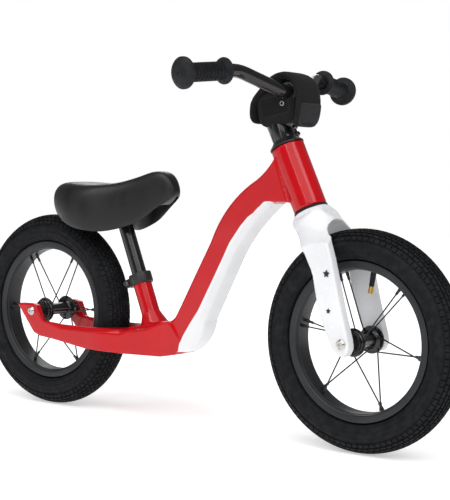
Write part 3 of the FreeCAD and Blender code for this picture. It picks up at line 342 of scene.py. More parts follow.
def tyre_rubber(name, colour):
    """Moulded rubber, matte, with a little dust in patches."""
    rubber = Finish(name, Specular_IOR_Level=0.14)
    dust = rubber.spread(rubber.noise(45, 6), 0.52, 0.85, 0.0, 0.35)
    clean = rubber.shaded(colour, 0.3, 90)
    rubber.surface("Base Color", rubber.mix(dust, clean, dark_of((0.9, 0.95, 1.1), 0.035)))
    rubber.worn(200, 4, 0.58, 0.78, top=0.7)
    rubber.grained(1300, 4, 0.00012, 0.6)
    return rubber.material


def grip_rubber(name, colour):
    """Softer rubber, a little lighter and shinier than a tyre's."""
    rubber = Finish(name, Specular_IOR_Level=0.2)
    rubber.surface("Base Color", rubber.shaded(dark_of(colour, 1.4), 0.3, 120))
    rubber.worn(250, 4, 0.45, 0.65, top=0.7)
    rubber.grained(2400, 3, 0.00008, 0.6)
    return rubber.material


def moulded_plastic(name, colour):
    """Plain moulded plastic with a satin surface."""
    plastic = Finish(name)
    plastic.surface("Base Color", plastic.shaded(colour, 0.12, 60))
    plastic.worn(200, 4, 0.38, 0.52, top=0.7)
    plastic.grained(1500, 3, 0.00005, 0.5, edge=0.0005)
    return plastic.material


def steel(name, colour, low, high):
    """Plated steel with brushed streaks and small marks."""
    metal = Finish(name, Metallic=1.0)
    streaks = metal.noise(500, 4, metal.stretched((1, 0.12, 1)))
    marks = metal.spread(metal.noise(160, 5), 0.35, 0.8)
    metal.surface("Base Color", metal.mix(marks, colour, dark_of(colour, 0.7)))
    metal.surface("Roughness", metal.spread(streaks, 0.3, 0.7, low, high))
    metal.surface("Normal", metal.bumped(streaks, 0.00003, 0.4, metal.soft_edge(0.0004)))
    return metal.material


def saddle_skin(name, colour):
    """Artificial leather: a fine pebble grain with broader creases, slightly shiny, with painted shade in the
    grain's crevices.
    """
    skin = Finish(name, Specular_IOR_Level=0.42)
    pebbles = skin.cells(720, "SMOOTH_F1")
    creases = skin.cells(330, "DISTANCE_TO_EDGE")
    # Painted shade: the crevices between the pebbles are darkened towards a darker copy of the skin colour.
    grain_valley_shade = skin.spread(pebbles, 0.1, 0.6)
    skin.surface("Base Color", skin.mix(grain_valley_shade, skin.shaded(colour, 0.2, 30), dark_of(colour, 0.55)))
    skin.worn(70, 5, 0.34, 0.44, top=0.7)
    fine = skin.bumped(pebbles, -0.0001, 0.3)
    skin.surface("Normal", skin.bumped(skin.spread(creases, 0.0, 0.12), 0.00008, 0.4, fine))
    return skin.material


def pad_cloth(name, colour, lighter=1.0):
    """Close woven black cloth, two thread directions over and under, with painted shade in the weave's
    valleys and a painted highlight on its crowns.
    """
    # The lighter factor scales every colour of the cloth; above 1 it paints the cloth lighter, as painted
    # light.
    cloth = Finish(name, Specular_IOR_Level=0.08, Sheen_Weight=0.04, Sheen_Roughness=0.4)
    spot = cloth.stretched((1, 1, 1), turn=(0, math.radians(8), 0))
    warp = cloth.wave(spot, 260, "Y", 0.6)
    weft = cloth.wave(spot, 260, "Z", 0.6)
    weave = cloth.maths("MAXIMUM", warp, weft)
    # Painted shade and highlight: the weave's valleys take a darker copy of the cloth's colour and its crowns
    # a lighter copy.
    valley, crown = dark_of(colour, 0.55 * lighter), dark_of(colour, 1.25 * lighter)
    weave_with_painted_light = cloth.mix(cloth.spread(weave, 0.2, 0.9), valley, crown)
    fuzz = cloth.spread(cloth.noise(900, 5), 0.55, 0.8, 0.0, 0.3)
    cloth.surface("Base Color", cloth.mix(fuzz, weave_with_painted_light, dark_of((1, 1, 1), 0.018 * lighter)))
    cloth.worn(120, 4, 0.78, 0.95, top=0.7)
    folds = cloth.bumped(cloth.noise(70, 3), 0.0012, 0.35)
    cloth.surface("Normal", cloth.bumped(weave, 0.00022, 0.7, folds))
    return cloth.material


def thread(name, colour):
    """Sewing thread with a twist, with painted shade in the twist's grooves."""
    twist = Finish(name, Sheen_Weight=0.2)
    turns = twist.wave(twist.place, 700, "DIAGONAL")
    # Painted shade: the twist's bands alternate between the thread's colour and half of it.
    twist.surface("Base Color", twist.mix(turns, dark_of(colour, 0.5), colour))
    twist.worn(500, 3.0, 0.6, 0.8, top=0.7)
    twist.surface("Normal", twist.bumped(turns, 0.0001, 0.7))
    return twist.material


finishes = {}


def finish(name):
    """The finish of a material slot, made once."""
    if name in finishes:
        return finishes[name]
    colours = bpy.context.scene.bike_colours
    red, white, black = tuple(colours.frame_red), tuple(colours.frame_white), tuple(colours.black)
    rim_grey, rubber = tuple(colours.rim_grey), tuple(colours.rubber)
    cloth_black = (0.014, 0.014, 0.015)
    recipes = {
        "casting_paint": (casting_paint, "frame lacquer", red, white),
        "fork_paint": (gloss_paint, "white lacquer", white),
        "black_gloss": (black_gloss, "black lacquer", black),
        "black_satin": (black_satin, "black powder coat", black),
        "front_rim": (rim_coating, "front rim coating", rim_grey, FRONT_AXLE),
        "rear_rim": (rim_coating, "rear rim coating", rim_grey, REAR_AXLE),
        "bright_steel": (steel, "bright steel", (0.62, 0.60, 0.57), 0.16, 0.3),
        "dark_steel": (steel, "dark steel", (0.16, 0.16, 0.165), 0.25, 0.42),
        "brass": (steel, "brass", (0.72, 0.45, 0.12), 0.22, 0.36),
        "tread_rubber": (tyre_rubber, "tyre rubber", rubber),
        "tube_rubber": (grip_rubber, "tube rubber", rubber),
        "grip_rubber": (grip_rubber, "grip rubber", rubber),
        "black_plastic": (moulded_plastic, "black plastic", (0.012, 0.012, 0.013)),
        "saddle_plastic": (moulded_plastic, "saddle base plastic", (0.15, 0.145, 0.13)),
        "saddle_skin": (saddle_skin, "saddle skin", tuple(colours.saddle_black)),
        "pad_cloth": (pad_cloth, "pad cloth", cloth_black),
        # Painted light: the flap is the pad's black cloth made twice as light, a lighter copy of the same
        # material for the lit flap.
        "pad_flap": (pad_cloth, "pad flap cloth", cloth_black, 2.0),
        "thread": (thread, "black thread", (0.03, 0.03, 0.032)),
        "sticker_black": (moulded_plastic, "black transfer", (0.008, 0.008, 0.009)),
    }
    maker, *about = recipes[name]
    finishes[name] = maker(*about)
    return finishes[name]


# ---- mesh helpers


def piece_from(bm, name, body, slot, look=None, replaced=(), crease=32):
    """Turns a bmesh into a piece that rides on a body and stands for CAD nodes."""
    bmesh.ops.remove_doubles(bm, verts=bm.verts, dist=1e-6)
    bmesh.ops.recalc_face_normals(bm, faces=bm.faces)
    mesh = bpy.data.meshes.new(name)
    bm.to_mesh(mesh)
    bm.free()
    mesh.shade_smooth()
    mesh.set_sharp_from_angle(angle=math.radians(crease))
    piece = bpy.data.objects.new(name, mesh)
    bpy.context.collection.objects.link(piece)
    mesh.materials.append(finish(look or slot))
    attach(piece, body)
    if replaced:
        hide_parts(*replaced)
    return piece


def basis(centre, along):
    """A matrix whose Z lies along a direction and whose origin is the centre."""
    return Matrix.Translation(centre) @ along.to_track_quat("Z", "Y").to_matrix().to_4x4()


def turned(bm, outline, centre, along, steps=96, closed=True):
    """Spins an outline of (along the axis, out from it), in millimetres, once round the axis."""
    place = basis(centre, along)
    verts = [bm.verts.new(place @ Vector((out * MM, 0, up * MM))) for up, out in outline]
    count = len(verts) if closed else len(verts) - 1
    edges = [bm.edges.new((verts[i], verts[(i + 1) % len(verts)])) for i in range(count)]
    bmesh.ops.spin(
        bm, geom=verts + edges, cent=centre, axis=along, angle=math.tau, steps=steps, use_merge=True
    )


def mirrored(outline):
    """An outline of one half, followed by its mirror image on the other side of the middle."""
    return outline + [(-across, out) for across, out in reversed(outline)]


def rounded(bm, width, angle=30, segments=2, edges=None):
    """Bevels the edges whose faces meet at more than an angle."""
    if edges is None:
        edges = [e for e in bm.edges if e.is_manifold and e.calc_face_angle(0) > math.radians(angle)]
    bmesh.ops.bevel(
        bm, geom=edges, offset=width, offset_type="OFFSET", affect="EDGES", segments=segments,
        profile=0.5, material=-1, clamp_overlap=False, loop_slide=True,
    )


def cad_copy(node, short=0.00045):
    """A merged bmesh copy of a CAD node, its flat faces joined and its shortest edges closed up."""
    bm = bmesh.new()
    bm.from_mesh(nodes[node].data)
    bmesh.ops.remove_doubles(bm, verts=bm.verts, dist=2e-6)
    bmesh.ops.dissolve_limit(bm, angle_limit=math.radians(0.6), verts=bm.verts, edges=bm.edges)
    bmesh.ops.dissolve_degenerate(bm, dist=short, edges=bm.edges)
    return bm


def rod(bm, points, radii, sides=12):
    """A round rod through points, with a radius at each, closed at its ends."""
    loops = []
    for number, point in enumerate(points):
        before = points[max(0, number - 1)]
        after = points[min(len(points) - 1, number + 1)]
        ring = bmesh.ops.create_circle(
            bm, segments=sides, radius=radii[number], matrix=basis(point, (after - before).normalized())
        )
        loops.append(list({edge for vert in ring["verts"] for edge in vert.link_edges}))
    for first, second in zip(loops, loops[1:]):
        bmesh.ops.bridge_loops(bm, edges=first + second)
    for loop in (loops[0], loops[-1]):
        bmesh.ops.holes_fill(bm, edges=loop, sides=sides)


def through(points, place):
    """The smooth curve through points (place, value), at a place."""
    if place <= points[0][0]:
        return points[0][1]
    for number in range(len(points) - 1):
        (x0, y0), (x1, y1) = points[number], points[number + 1]
        if place > x1:
            continue
        before = points[max(0, number - 1)]
        after = points[min(len(points) - 1, number + 2)]
        slope0 = (y1 - before[1]) / (x1 - before[0])
        slope1 = (after[1] - y0) / (after[0] - x0)
        share, span = (place - x0) / (x1 - x0), x1 - x0
        cube, square = share**3, share**2
        return (
            (2 * cube - 3 * square + 1) * y0 + (cube - 2 * square + share) * span * slope0
            + (3 * square - 2 * cube) * y1 + (cube - square) * span * slope1
        )
    return points[-1][1]


def dress(slot, *names):
    """Gives carried-over CAD nodes their finish."""
    for name in names:
        mesh = nodes[name].data
        mesh.materials.clear()
        mesh.materials.append(finish(slot))


# ---- wheels


# Angles round a tyre's section from the middle of its tread, in degrees.
TREAD_ROWS = [-68, -50, -36, -24, -12, 0, 12, 24, 36, 50, 68]
SIDE_RINGS = [78, 80, 82, 84, 95, 97, 99, 101, 112, 114, 116, 118, 126]
RAISED_RINGS = (80, 82, 97, 99, 114, 116)

SPOKE_PAIRS = 6
SPOKE_HOLES = 16
SPOKE_REACH = 95.5
SPOKE_RADIUS = 0.001
FLANGE_OUTSIDE, FLANGE_INSIDE = 24.9, 20.4


def wheel_piece(bm, side, name, node, slot, look=None, crease=32):
    """A piece of one wheel, which stands for one of the wheel's CAD nodes."""
    piece_from(bm, f"{side}_{name}", f"{side}_wheel", slot, look, [f"{side}_{node}"], crease)


def make_tyre(side, axle):
    """A tyre with staggered tread blocks, wide shoulder blocks and ringed sidewalls."""
    sizes = bpy.context.scene.bike_sizes
    low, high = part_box(f"{side}_tyre")
    outer = (high.z - low.z) / 2 / MM
    section = (high.y - low.y) / 2 / MM
    middle = outer - section
    depth = sizes.tread_depth / MM
    steps = sizes.tread_blocks * 2
    ring_height, side_inset = 0.45, 0.9
    outline = []
    for degrees in [-angle for angle in reversed(SIDE_RINGS)] + TREAD_ROWS + SIDE_RINGS:
        lift = ring_height if abs(degrees) in RAISED_RINGS else 0
        inset = depth if degrees in TREAD_ROWS else side_inset
        radius = section - inset + lift
        angle = math.radians(degrees)
        outline.append((radius * math.sin(angle), middle + radius * math.cos(angle)))
    bead = outline[-1][1]
    inside = [
        (17.3, bead - 1.2), (15.2, bead - 1.0), (15.6, bead + 3), (20.4, middle - 6), (20.8, middle + 4),
        (14.5, outer - 8),
    ]
    outline += inside + [(0, outer - 5.2)] + [(-across, out) for across, out in reversed(inside)]
    bm = bmesh.new()
    turned(bm, outline, axle, ACROSS, steps)
    bmesh.ops.recalc_face_normals(bm, faces=bm.faces)

    def row_of(face):
        spot = face.calc_center_median() - axle
        around = math.degrees(math.atan2(spot.y, math.hypot(spot.x, spot.z) - middle * MM))
        for number in range(len(TREAD_ROWS) - 1):
            if TREAD_ROWS[number] < around < TREAD_ROWS[number + 1]:
                return number
        return None

    def is_outside(face):
        spot = face.calc_center_median() - axle
        return math.hypot(spot.y, math.hypot(spot.x, spot.z) - middle * MM) > (section - 3) * MM

    def turn_of(point):
        return math.atan2(point.z - axle.z, point.x - axle.x)

    def step_of(point):
        """The number of half steps round the tyre at which a point lies."""
        return round(turn_of(point) / math.tau * steps * 2)

    start = step_of(min(bm.verts, key=lambda vert: abs(turn_of(vert.co))).co) % 4
    joined = []
    for edge in bm.edges:
        if len(edge.link_faces) != 2 or not all(is_outside(face) for face in edge.link_faces):
            continue
        first, second = (row_of(face) for face in edge.link_faces)
        if first is None or first != second:
            continue
        middle_point = (edge.verts[0].co + edge.verts[1].co) / 2
        if (step_of(middle_point) - start) % 4 == (0 if first % 2 else 2):
            joined.append(edge)
    bmesh.ops.dissolve_edges(bm, edges=joined, use_verts=False)
    blocks = [face for face in bm.faces if is_outside(face) and row_of(face) is not None]
    bmesh.ops.inset_individual(bm, faces=blocks, thickness=sizes.tread_gap / 2, depth=0)
    bmesh.ops.inset_individual(bm, faces=blocks, thickness=0.0003, depth=sizes.tread_depth * 0.97)
    wheel_piece(bm, side, "tyre_treaded", "tyre", "tread_rubber", crease=28)


def make_rim(side, axle):
    """A box-section rim with hooked flanges, a stepped bed and small rounded edges."""
    low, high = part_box(f"{side}_rim")
    half = high.y / MM
    flange = (high.z - low.z) / 2 / MM
    bed = flange - 12.1
    one_side = [
        (half - 5.2, bed), (half - 4.2, bed + 1.1), (half - 1.6, bed + 1.6), (half - 0.2, bed + 3.4),
        (half, bed + 9.6), (half, flange - 0.5), (half - 0.7, flange), (half - 1.9, flange - 0.2),
        (half - 2.2, bed + 6.2), (half - 8, bed + 4.6), (half - 10.4, bed + 2.4),
    ]
    bm = bmesh.new()
    turned(bm, mirrored(one_side), axle, ACROSS, 160)
    rounded(bm, 0.00035, 24)
    wheel_piece(bm, side, "rim_turned", "rim", "dark_rim", f"{side}_rim")


def make_hub(side, axle):
    """A hub shell with two flanges, a waisted barrel and stepped ends that hold the bearings."""
    bm = bmesh.new()
    one_side = [
        (0, 9.0), (14, 9.2), (18.5, 10.2), (21.2, 13.2), (21.7, 15.5), (21.7, 18.6), (22.2, 19), (23.8, 19),
        (24.3, 18.6), (24.3, 16.4), (25.6, 15.9), (26.3, 15.2), (26.5, 14.2), (27.3, 14.2), (27.5, 15),
        (30.6, 15), (31, 14.6), (31, 13), (23, 13), (23, 6.6),
    ]
    turned(bm, mirrored(one_side), axle, ACROSS, 72)
    wheel_piece(bm, side, "hub_shell", "hub", "black_gloss")


def make_bearing_shields(side, axle):
    """Pressed seals over the hub's bearings."""
    bm = bmesh.new()
    outline = [
        (30.2, 5.3), (30.7, 5.3), (30.8, 6.6), (30.4, 7.4), (30.4, 10.6), (30.8, 11.4), (30.8, 12.8),
        (23.1, 12.8), (23.1, 5.3),
    ]
    for way in (-1, 1):
        turned(bm, [(way * along, out) for along, out in outline], axle, ACROSS, 48)
    wheel_piece(bm, side, "bearing_shields", "hub_bearings", "dark_steel")


def spoke_line(way, angle):
    """The points of a spoke from its head in the hub's flange to its nipple, before it is placed."""
    rim_angle, hub_angle = angle - math.radians(2.2) * way, angle + math.radians(24) * way
    hole = Vector((math.cos(hub_angle), 0, math.sin(hub_angle))) * SPOKE_HOLES * MM
    rim = Vector((math.cos(rim_angle), 0, math.sin(rim_angle))) * SPOKE_REACH * MM + ACROSS * 3 * way * MM
    outside = hole + ACROSS * FLANGE_OUTSIDE * way * MM
    inside = hole + ACROSS * FLANGE_INSIDE * way * MM
    along = (rim - inside).normalized()
    return outside, inside, inside + along * 1.6 * MM, rim, along


def make_spokes(side, axle, turn):
    """Spokes hooked through the hub's flanges, each with a flat-sided nipple at the rim."""
    spokes, nipples = bmesh.new(), bmesh.new()
    for station in range(SPOKE_PAIRS):
        for way in (-1, 1):
            angle = math.radians(turn) + math.tau / SPOKE_PAIRS * station
            outside, inside, after, rim, along = spoke_line(way, angle)
            head = outside + ACROSS * 0.7 * way * MM
            points = [axle + point for point in (head, outside, inside, after, rim - along * 7 * MM)]
            rod(spokes, points, [0.0016] + [SPOKE_RADIUS] * 4, 10)
            foot = axle + rim - along * 12 * MM
            tip = axle + rim - along * 0.6 * MM
            step = (tip - foot).normalized() * MM
            rod(nipples, [foot, foot + step, tip - step * 5, tip - step * 4.6, tip],
                [0.0014, 0.0019, 0.0019, 0.0023, 0.0023], 8)
    wheel_piece(spokes, side, "spokes_hooked", "spokes", "black_satin")
    wheel_piece(nipples, side, "nipples_turned", "nipples", "black_satin")


def make_valve(side, axle, degrees):
    """A rubber-sleeved valve with a threaded brass end."""
    inward = -Vector((math.cos(math.radians(degrees)), 0, math.sin(math.radians(degrees))))
    sleeve = bmesh.new()
    outline = [
        (-103, 0), (-103, 3.8), (-96, 3.8), (-94.8, 4.3), (-93.4, 4.0), (-80, 3.5), (-75.2, 3.4),
        (-74.6, 3.0), (-74.6, 0),
    ]
    turned(sleeve, outline, axle, inward, 28, closed=False)
    wheel_piece(sleeve, side, "valve_sleeve", "valve", "tube_rubber")
    end = bmesh.new()
    rings, pitch = 6, 1.1
    outline = [(-74.5, 0), (-74.5, 3.0)]
    for ring in range(rings):
        rise = ring * pitch
        outline += [(-73.8 + rise, 3.05), (-73.4 + rise, 3.45), (-73.1 + rise, 3.45)]
    outline += [(-66.4, 2.6), (-66.2, 3.2), (-64.9, 3.2), (-64.6, 2.8), (-64.6, 0)]
    turned(end, outline, axle, inward, 28, closed=False)
    wheel_piece(end, side, "valve_thread", "valve_cap", "brass")


class BIKE_OT_wheels(bpy.types.Operator):
    """Make both wheels: tyres, rims, hubs, spokes and valves"""

    bl_idname = "bike.wheels"
    bl_label = "Wheels"

    def execute(self, context):
        wheels = (("front", FRONT_AXLE, -10, 81), ("rear", REAR_AXLE, 2, 332))
        for side, axle, spoke_turn, valve_turn in wheels:
            make_tyre(side, axle)
            make_rim(side, axle)
            make_hub(side, axle)
            make_bearing_shields(side, axle)
            make_spokes(side, axle, spoke_turn)
            make_valve(side, axle, valve_turn)
            dress("tube_rubber", f"{side}_inner_tube", f"{side}_rim_strip")
        return {"FINISHED"}


# ---- frame and fork


def subdivided(piece):
    """Rounds a piece by one subdivision."""
    subdivision = piece.modifiers.new("subdivision", "SUBSURF")
    subdivision.levels = subdivision.render_levels = 1


def cast(piece, cell, rounds):
    """Remakes a piece in even cells and smooths it, which rounds its edges as on a casting."""
    remesh = piece.modifiers.new("even_cells", "REMESH")
    remesh.mode = "VOXEL"
    remesh.voxel_size = cell
    remesh.use_smooth_shade = True
    smooth = piece.modifiers.new("round_edges", "SMOOTH")
    smooth.factor = 0.5
    smooth.iterations = rounds


# Where the tops of the arms' edges lie, in metres, and the width of their bevel.
ARM_HEIGHT = (0.131, 0.142)
ARM_REACH = (-0.263, -0.100)
ARM_INSIDE = 0.036
ARM_BEVEL = 0.0058


def make_frame_casting():
    """The casting with broad bevels along the tops of its arms and all its edges rounded."""
    bm = cad_copy("frame_casting")

    def is_arm_edge(edge):
        middle = (edge.verts[0].co + edge.verts[1].co) / 2
        on_top = ARM_HEIGHT[0] < middle.z < ARM_HEIGHT[1]
        on_arm = ARM_REACH[0] < middle.x < ARM_REACH[1] and abs(middle.y) > ARM_INSIDE
        return on_top and on_arm and edge.calc_face_angle(0) > math.radians(40)

    arm_edges = [edge for edge in bm.edges if edge.is_manifold and is_arm_edge(edge)]
    rounded(bm, ARM_BEVEL, edges=arm_edges, segments=1)
    casting = piece_from(bm, "frame_painted", "frame", "casting_paint", replaced=["frame_casting"], crease=40)
    cast(casting, 0.0015, bpy.context.scene.bike_sizes.edge_rounds)


def make_fork():
    """The fork with its edges rounded, by twice the passes that the frame gets."""
    bm = cad_copy("fork")
    fork = piece_from(bm, "fork_painted", "steering", "fork_paint", replaced=["fork"], crease=40)
    cast(fork, 0.0013, bpy.context.scene.bike_sizes.edge_rounds * 2)


# The stars on each blade, as (x, z, size) in metres.
FORK_STARS = ((0.2607, 0.2405, 0.0056), (0.2653, 0.192, 0.0042))


def star(bm, centre, size):
    """A small five-pointed star, a thin raised transfer on the side of a blade."""
    points = []
    for number in range(10):
        angle = math.tau / 10 * number + math.pi / 2
        reach = size if number % 2 == 0 else size * 0.52
        points.append(bm.verts.new(centre + Vector((math.cos(angle), 0, math.sin(angle))) * reach))
    face = bm.faces.new(points)
    bmesh.ops.solidify(bm, geom=[face], thickness=0.00025)


class BIKE_OT_frame(bpy.types.Operator):
    """Make the painted frame, and finish what is bolted to it"""

    bl_idname = "bike.frame"
    bl_label = "Frame"

    def execute(self, context):
        make_frame_casting()
        dress("dark_steel", "upper_headset_bearing", "lower_headset_bearing", "rear_axle", "seat_clamp_nut",
              "seat_clamp_bolt")
        dress("black_satin", "rear_axle_spacers")
        dress("bright_steel", "rear_axle_bolts")
        clamp = cad_copy("seat_clamp")
        rounded(clamp, 0.0006, 30, 2)
        piece_from(clamp, "seat_clamp_rounded", "frame", "black_satin", replaced=["seat_clamp"], crease=40)
        return {"FINISHED"}


class BIKE_OT_fork(bpy.types.Operator):
    """Make the painted fork with its small stars, and finish the headset"""

    bl_idname = "bike.fork"
    bl_label = "Fork"

    def execute(self, context):
        make_fork()
        stars = bmesh.new()
        side = -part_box("fork")[1].y - 0.00012
        for ahead, up, size in FORK_STARS:
            for way in (1, -1):
                star(stars, Vector((ahead, side * way, up)), size)
        piece_from(stars, "fork_stars", "steering", "black_plastic", "sticker_black")
        dress("dark_steel", "steerer_tube", "crown_race", "compression_ring", "star_nut", "stem_cap_bolt",
              "front_axle")
        dress("grip_rubber", "crown_seal")
        dress("black_plastic", "headset_cover", "stem_cap")
        dress("black_satin", "front_axle_spacers")
        dress("bright_steel", "front_axle_bolts")
        return {"FINISHED"}


# ---- handlebar, stem, grips and pad

BAR_MIDDLE = on_steering_axis(42, 0, 349)
BAR_CORNER = Vector((0, 28, 0)) * MM
BAR_BEND = Vector((-29, 92, 25)) * MM
BAR_END = Vector((-43, 186, 15)) * MM
BEND_SIZES = (0.030, 0.045)
BAR_RADIUS = 0.0095


def bar_line(way, steps=10):
    """Points along half the bar, its two bends drawn as smooth curves."""
    corners = [Vector((0, 0, 0)), BAR_CORNER, BAR_BEND, BAR_END]
    line = [corners[0]]
    for number, bend in enumerate(BEND_SIZES, 1):
        corner = corners[number]
        before = (corner - corners[number - 1]).normalized()
        after = (corners[number + 1] - corner).normalized()
        setback = bend * math.tan(before.angle(after) / 2)
        first, last = corner - before * setback, corner + after * setback
        for step in range(steps + 1):
            share = step / steps
            line.append(first * (1 - share) ** 2 + corner * 2 * share * (1 - share) + last * share**2)
    line.append(corners[3])
    return [BAR_MIDDLE + Vector((point.x, point.y * way, point.z)) for point in line]


def make_bar():
    """The bar, bent back and up on both sides."""
    bm = bmesh.new()
    points = list(reversed(bar_line(-1))) + bar_line(1)[1:]
    rod(bm, points, [BAR_RADIUS] * len(points), 32)
    piece_from(bm, "handlebar_bent", "steering", "black_gloss", replaced=["handlebar"])


def make_grip(side, way):
    """A rubber grip: domed end cap, rows of small pads round the sleeve, and a thin flange."""
    direction = (BAR_END - BAR_BEND).normalized()
    direction = Vector((direction.x, direction.y * way, direction.z))
    end = BAR_MIDDLE + Vector((BAR_END.x, BAR_END.y * way, BAR_END.z)) + direction * 11 * MM
    sleeve, cap, flange, body, bore = 84, 21, 18, 11.9, 9.6
    ribs, first, pitch, length = 10, 16.6, 6, 4.6
    outline = [
        (0.9, 0), (0.9, 1.4), (0, 1.7), (0.4, 7), (1.6, 12.5), (3.6, 17), (5.6, 19.2), (6.4, 19.6),
        (6.9, 20.4), (7.8, cap), (11, cap), (12.2, 20.2), (13.2, 17), (13.8, 14.2), (14.6, body + 0.6),
        (15.6, body),
    ]
    for rib in range(ribs):
        start = first + pitch * rib
        outline += [(start, body), (start + length, body)]
    outline += [
        (sleeve - 6, body + 0.6), (sleeve - 4.6, flange - 2), (sleeve - 3.8, flange - 0.3),
        (sleeve - 3, flange), (sleeve - 1.6, flange - 0.2), (sleeve - 1.2, flange - 2),
        (sleeve - 0.8, body + 1.4), (sleeve, body + 0.4), (sleeve, bore), (11, bore), (11, 0),
    ]
    bm = bmesh.new()
    turned(bm, outline, end, -direction, 48, closed=False)
    bmesh.ops.remove_doubles(bm, verts=bm.verts, dist=1e-6)
    bmesh.ops.recalc_face_normals(bm, faces=bm.faces)

    def is_rib(face):
        spot = face.calc_center_median() - end
        back = -spot.dot(direction) / MM
        out = (spot + direction * back * MM).length / MM
        on_sleeve = body - 0.6 < out < body + 0.3 and face.calc_area() > 4e-6
        return on_sleeve and first < back < first + pitch * ribs and (back - first) % pitch < length

    pads = [face for face in bm.faces if is_rib(face)]
    bmesh.ops.inset_individual(bm, faces=pads, thickness=0.00022, depth=0)
    bmesh.ops.inset_individual(bm, faces=pads, thickness=0.0002, depth=0.0008)
    piece_from(bm, f"{side}_grip_moulded", "steering", "grip_rubber", replaced=[f"{side}_grip"], crease=38)


class BIKE_OT_handlebar(bpy.types.Operator):
    """Make the bent handlebar, its grips and its stem"""

    bl_idname = "bike.handlebar"
    bl_label = "Handlebar"

    def execute(self, context):
        make_bar()
        make_grip("left", 1)
        make_grip("right", -1)
        stem = cad_copy("stem")
        rounded(stem, 0.0007, 30, 2)
        piece_from(stem, "stem_rounded", "steering", "black_gloss", replaced=["stem"], crease=40)
        dress("dark_steel", "stem_bolts")
        dress("bright_steel", "bar_clamp_bolt")
        return {"FINISHED"}


# The pad's middle line seen from the side, as (ahead, up, thickness) in millimetres.
PAD_LINE = [
    (117, 437, 6.5), (113, 451, 7.4), (114.5, 467, 7.8), (126, 483, 8.2), (141, 496.5, 8.8),
    (158, 504, 9.4), (173, 502, 9.8), (185, 492.5, 10.2), (190, 477, 10.6), (190, 461, 10.8),
    (187, 446, 10.6), (181, 434, 9.0),
]
PAD_HALF_WIDTH = 28.5
STITCH_LIFT = 1.6
STITCH_RADII = [0.0001, 0.00028, 0.0001]

# Rows of stitches on the flap: where each starts and how far it runs, along the flap and across it.
STITCH_ROWS = [((0.03, -0.9), (0.62, 0)), ((0.03, 0.9), (0.62, 0)), ((0.06, -0.86), (0, 1.72))]


def roundness(share):
    """How far a quarter circle of radius 1 has dropped at a share of its radius."""
    return 1 - math.sqrt(max(0, 1 - share**2))


def pad_point(share, across, lift):
    """A point of the pad: along its band, across it, and out from the band's middle surface."""
    spots = [(number / (len(PAD_LINE) - 1), spot) for number, spot in enumerate(PAD_LINE)]
    where = [through([(at, spot[axis]) for at, spot in spots], share) for axis in range(3)]
    ahead = [through([(at, spot[axis]) for at, spot in spots], min(1, share + 0.01)) for axis in range(2)]
    back = [through([(at, spot[axis]) for at, spot in spots], max(0, share - 0.01)) for axis in range(2)]
    way = Vector((ahead[0] - back[0], 0, ahead[1] - back[1])).normalized()
    out = Vector((-way.z, 0, way.x))
    rim = 1 - 0.45 * abs(across) ** 6
    near_end = max(0, 1 - min(share, 1 - share) / 0.085)
    corner = 1 - 0.34 * roundness(near_end)
    centre = Vector((where[0], across * PAD_HALF_WIDTH * corner, where[1]))
    return (centre + out * lift * where[2] / 2 * rim) * MM


def flap_point(share, across, side):
    """A point of the overlapped front flap, which lies on the pad's outside."""
    reach = 0.785 + share * 0.185
    foot = roundness(max(0, share - 0.6) / 0.4)
    top = roundness(max(0, 0.16 - share) / 0.16)
    return pad_point(reach, across * (0.84 - 0.25 * foot - 0.14 * top), 1.15 + 0.1 * side)


def band(bm, columns, rows, spot):
    """A closed pad from a grid: spot(u, v, side) gives the place of each of its points."""
    for side in (1, -1):
        made = bmesh.ops.create_grid(bm, x_segments=columns, y_segments=rows, size=1)
        for vert in made["verts"]:
            vert.co = spot((vert.co.x + 1) / 2, vert.co.y, side)
    bmesh.ops.bridge_loops(bm, edges=[edge for edge in bm.edges if edge.is_boundary])


def inflate(piece, voxel, pressure, cap):
    """Swells a closed cloth piece by simulation, each point moving no further than the cap."""
    remesh = piece.modifiers.new("remesh", "REMESH")
    remesh.mode = "VOXEL"
    remesh.voxel_size = voxel
    with bpy.context.temp_override(object=piece, active_object=piece):
        bpy.ops.object.modifier_apply(modifier=remesh.name)
    start = [vert.co.copy() for vert in piece.data.vertices]
    cloth = piece.modifiers.new("cloth", "CLOTH")
    cloth.settings.use_pressure = True
    cloth.settings.uniform_pressure_force = pressure
    cloth.settings.effector_weights.gravity = 0
    scene = bpy.context.scene
    for number in range(1, 21):
        scene.frame_set(number)
    swollen = piece.evaluated_get(bpy.context.evaluated_depsgraph_get()).data
    moved = [vert.co.copy() for vert in swollen.vertices]
    piece.modifiers.remove(cloth)
    scene.frame_set(1)
    for vert, old, new in zip(piece.data.vertices, start, moved):
        step = new - old
        if step.length > cap:
            step = step.normalized() * cap
        vert.co = old + step


def make_pad():
    """The folded pad, swollen by a short cloth simulation and smoothed."""
    bm = bmesh.new()
    band(bm, 64, 22, pad_point)
    pad = piece_from(bm, "bar_pad_folded", "steering", "pad_cloth", replaced=["handlebar_pad"], crease=80)
    inflate(pad, 0.0032, 4.0, bpy.context.scene.bike_sizes.pad_swell)
    smooth = pad.modifiers.new("smooth", "CORRECTIVE_SMOOTH")
    smooth.iterations = 4
    smooth.use_only_smooth = True
    subdivided(pad)
    pad.data.shade_smooth()


def make_pad_shade_block():
    """A dark cloth block that fills the fold round the stem's clamp, standing in for the shade inside the
    pad.
    """
    bm = bmesh.new()
    bmesh.ops.create_cube(bm, size=1, matrix=Matrix.Diagonal((0.07, 0.0455, 0.05, 1)))
    rounded(bm, 0.014, segments=5)
    bm.transform(Matrix.Translation((0.15, 0, 0.462)) @ Matrix.Rotation(math.radians(-12), 4, "Y"))
    piece_from(bm, "bar_pad_shade_block", "steering", "pad_cloth", crease=60)


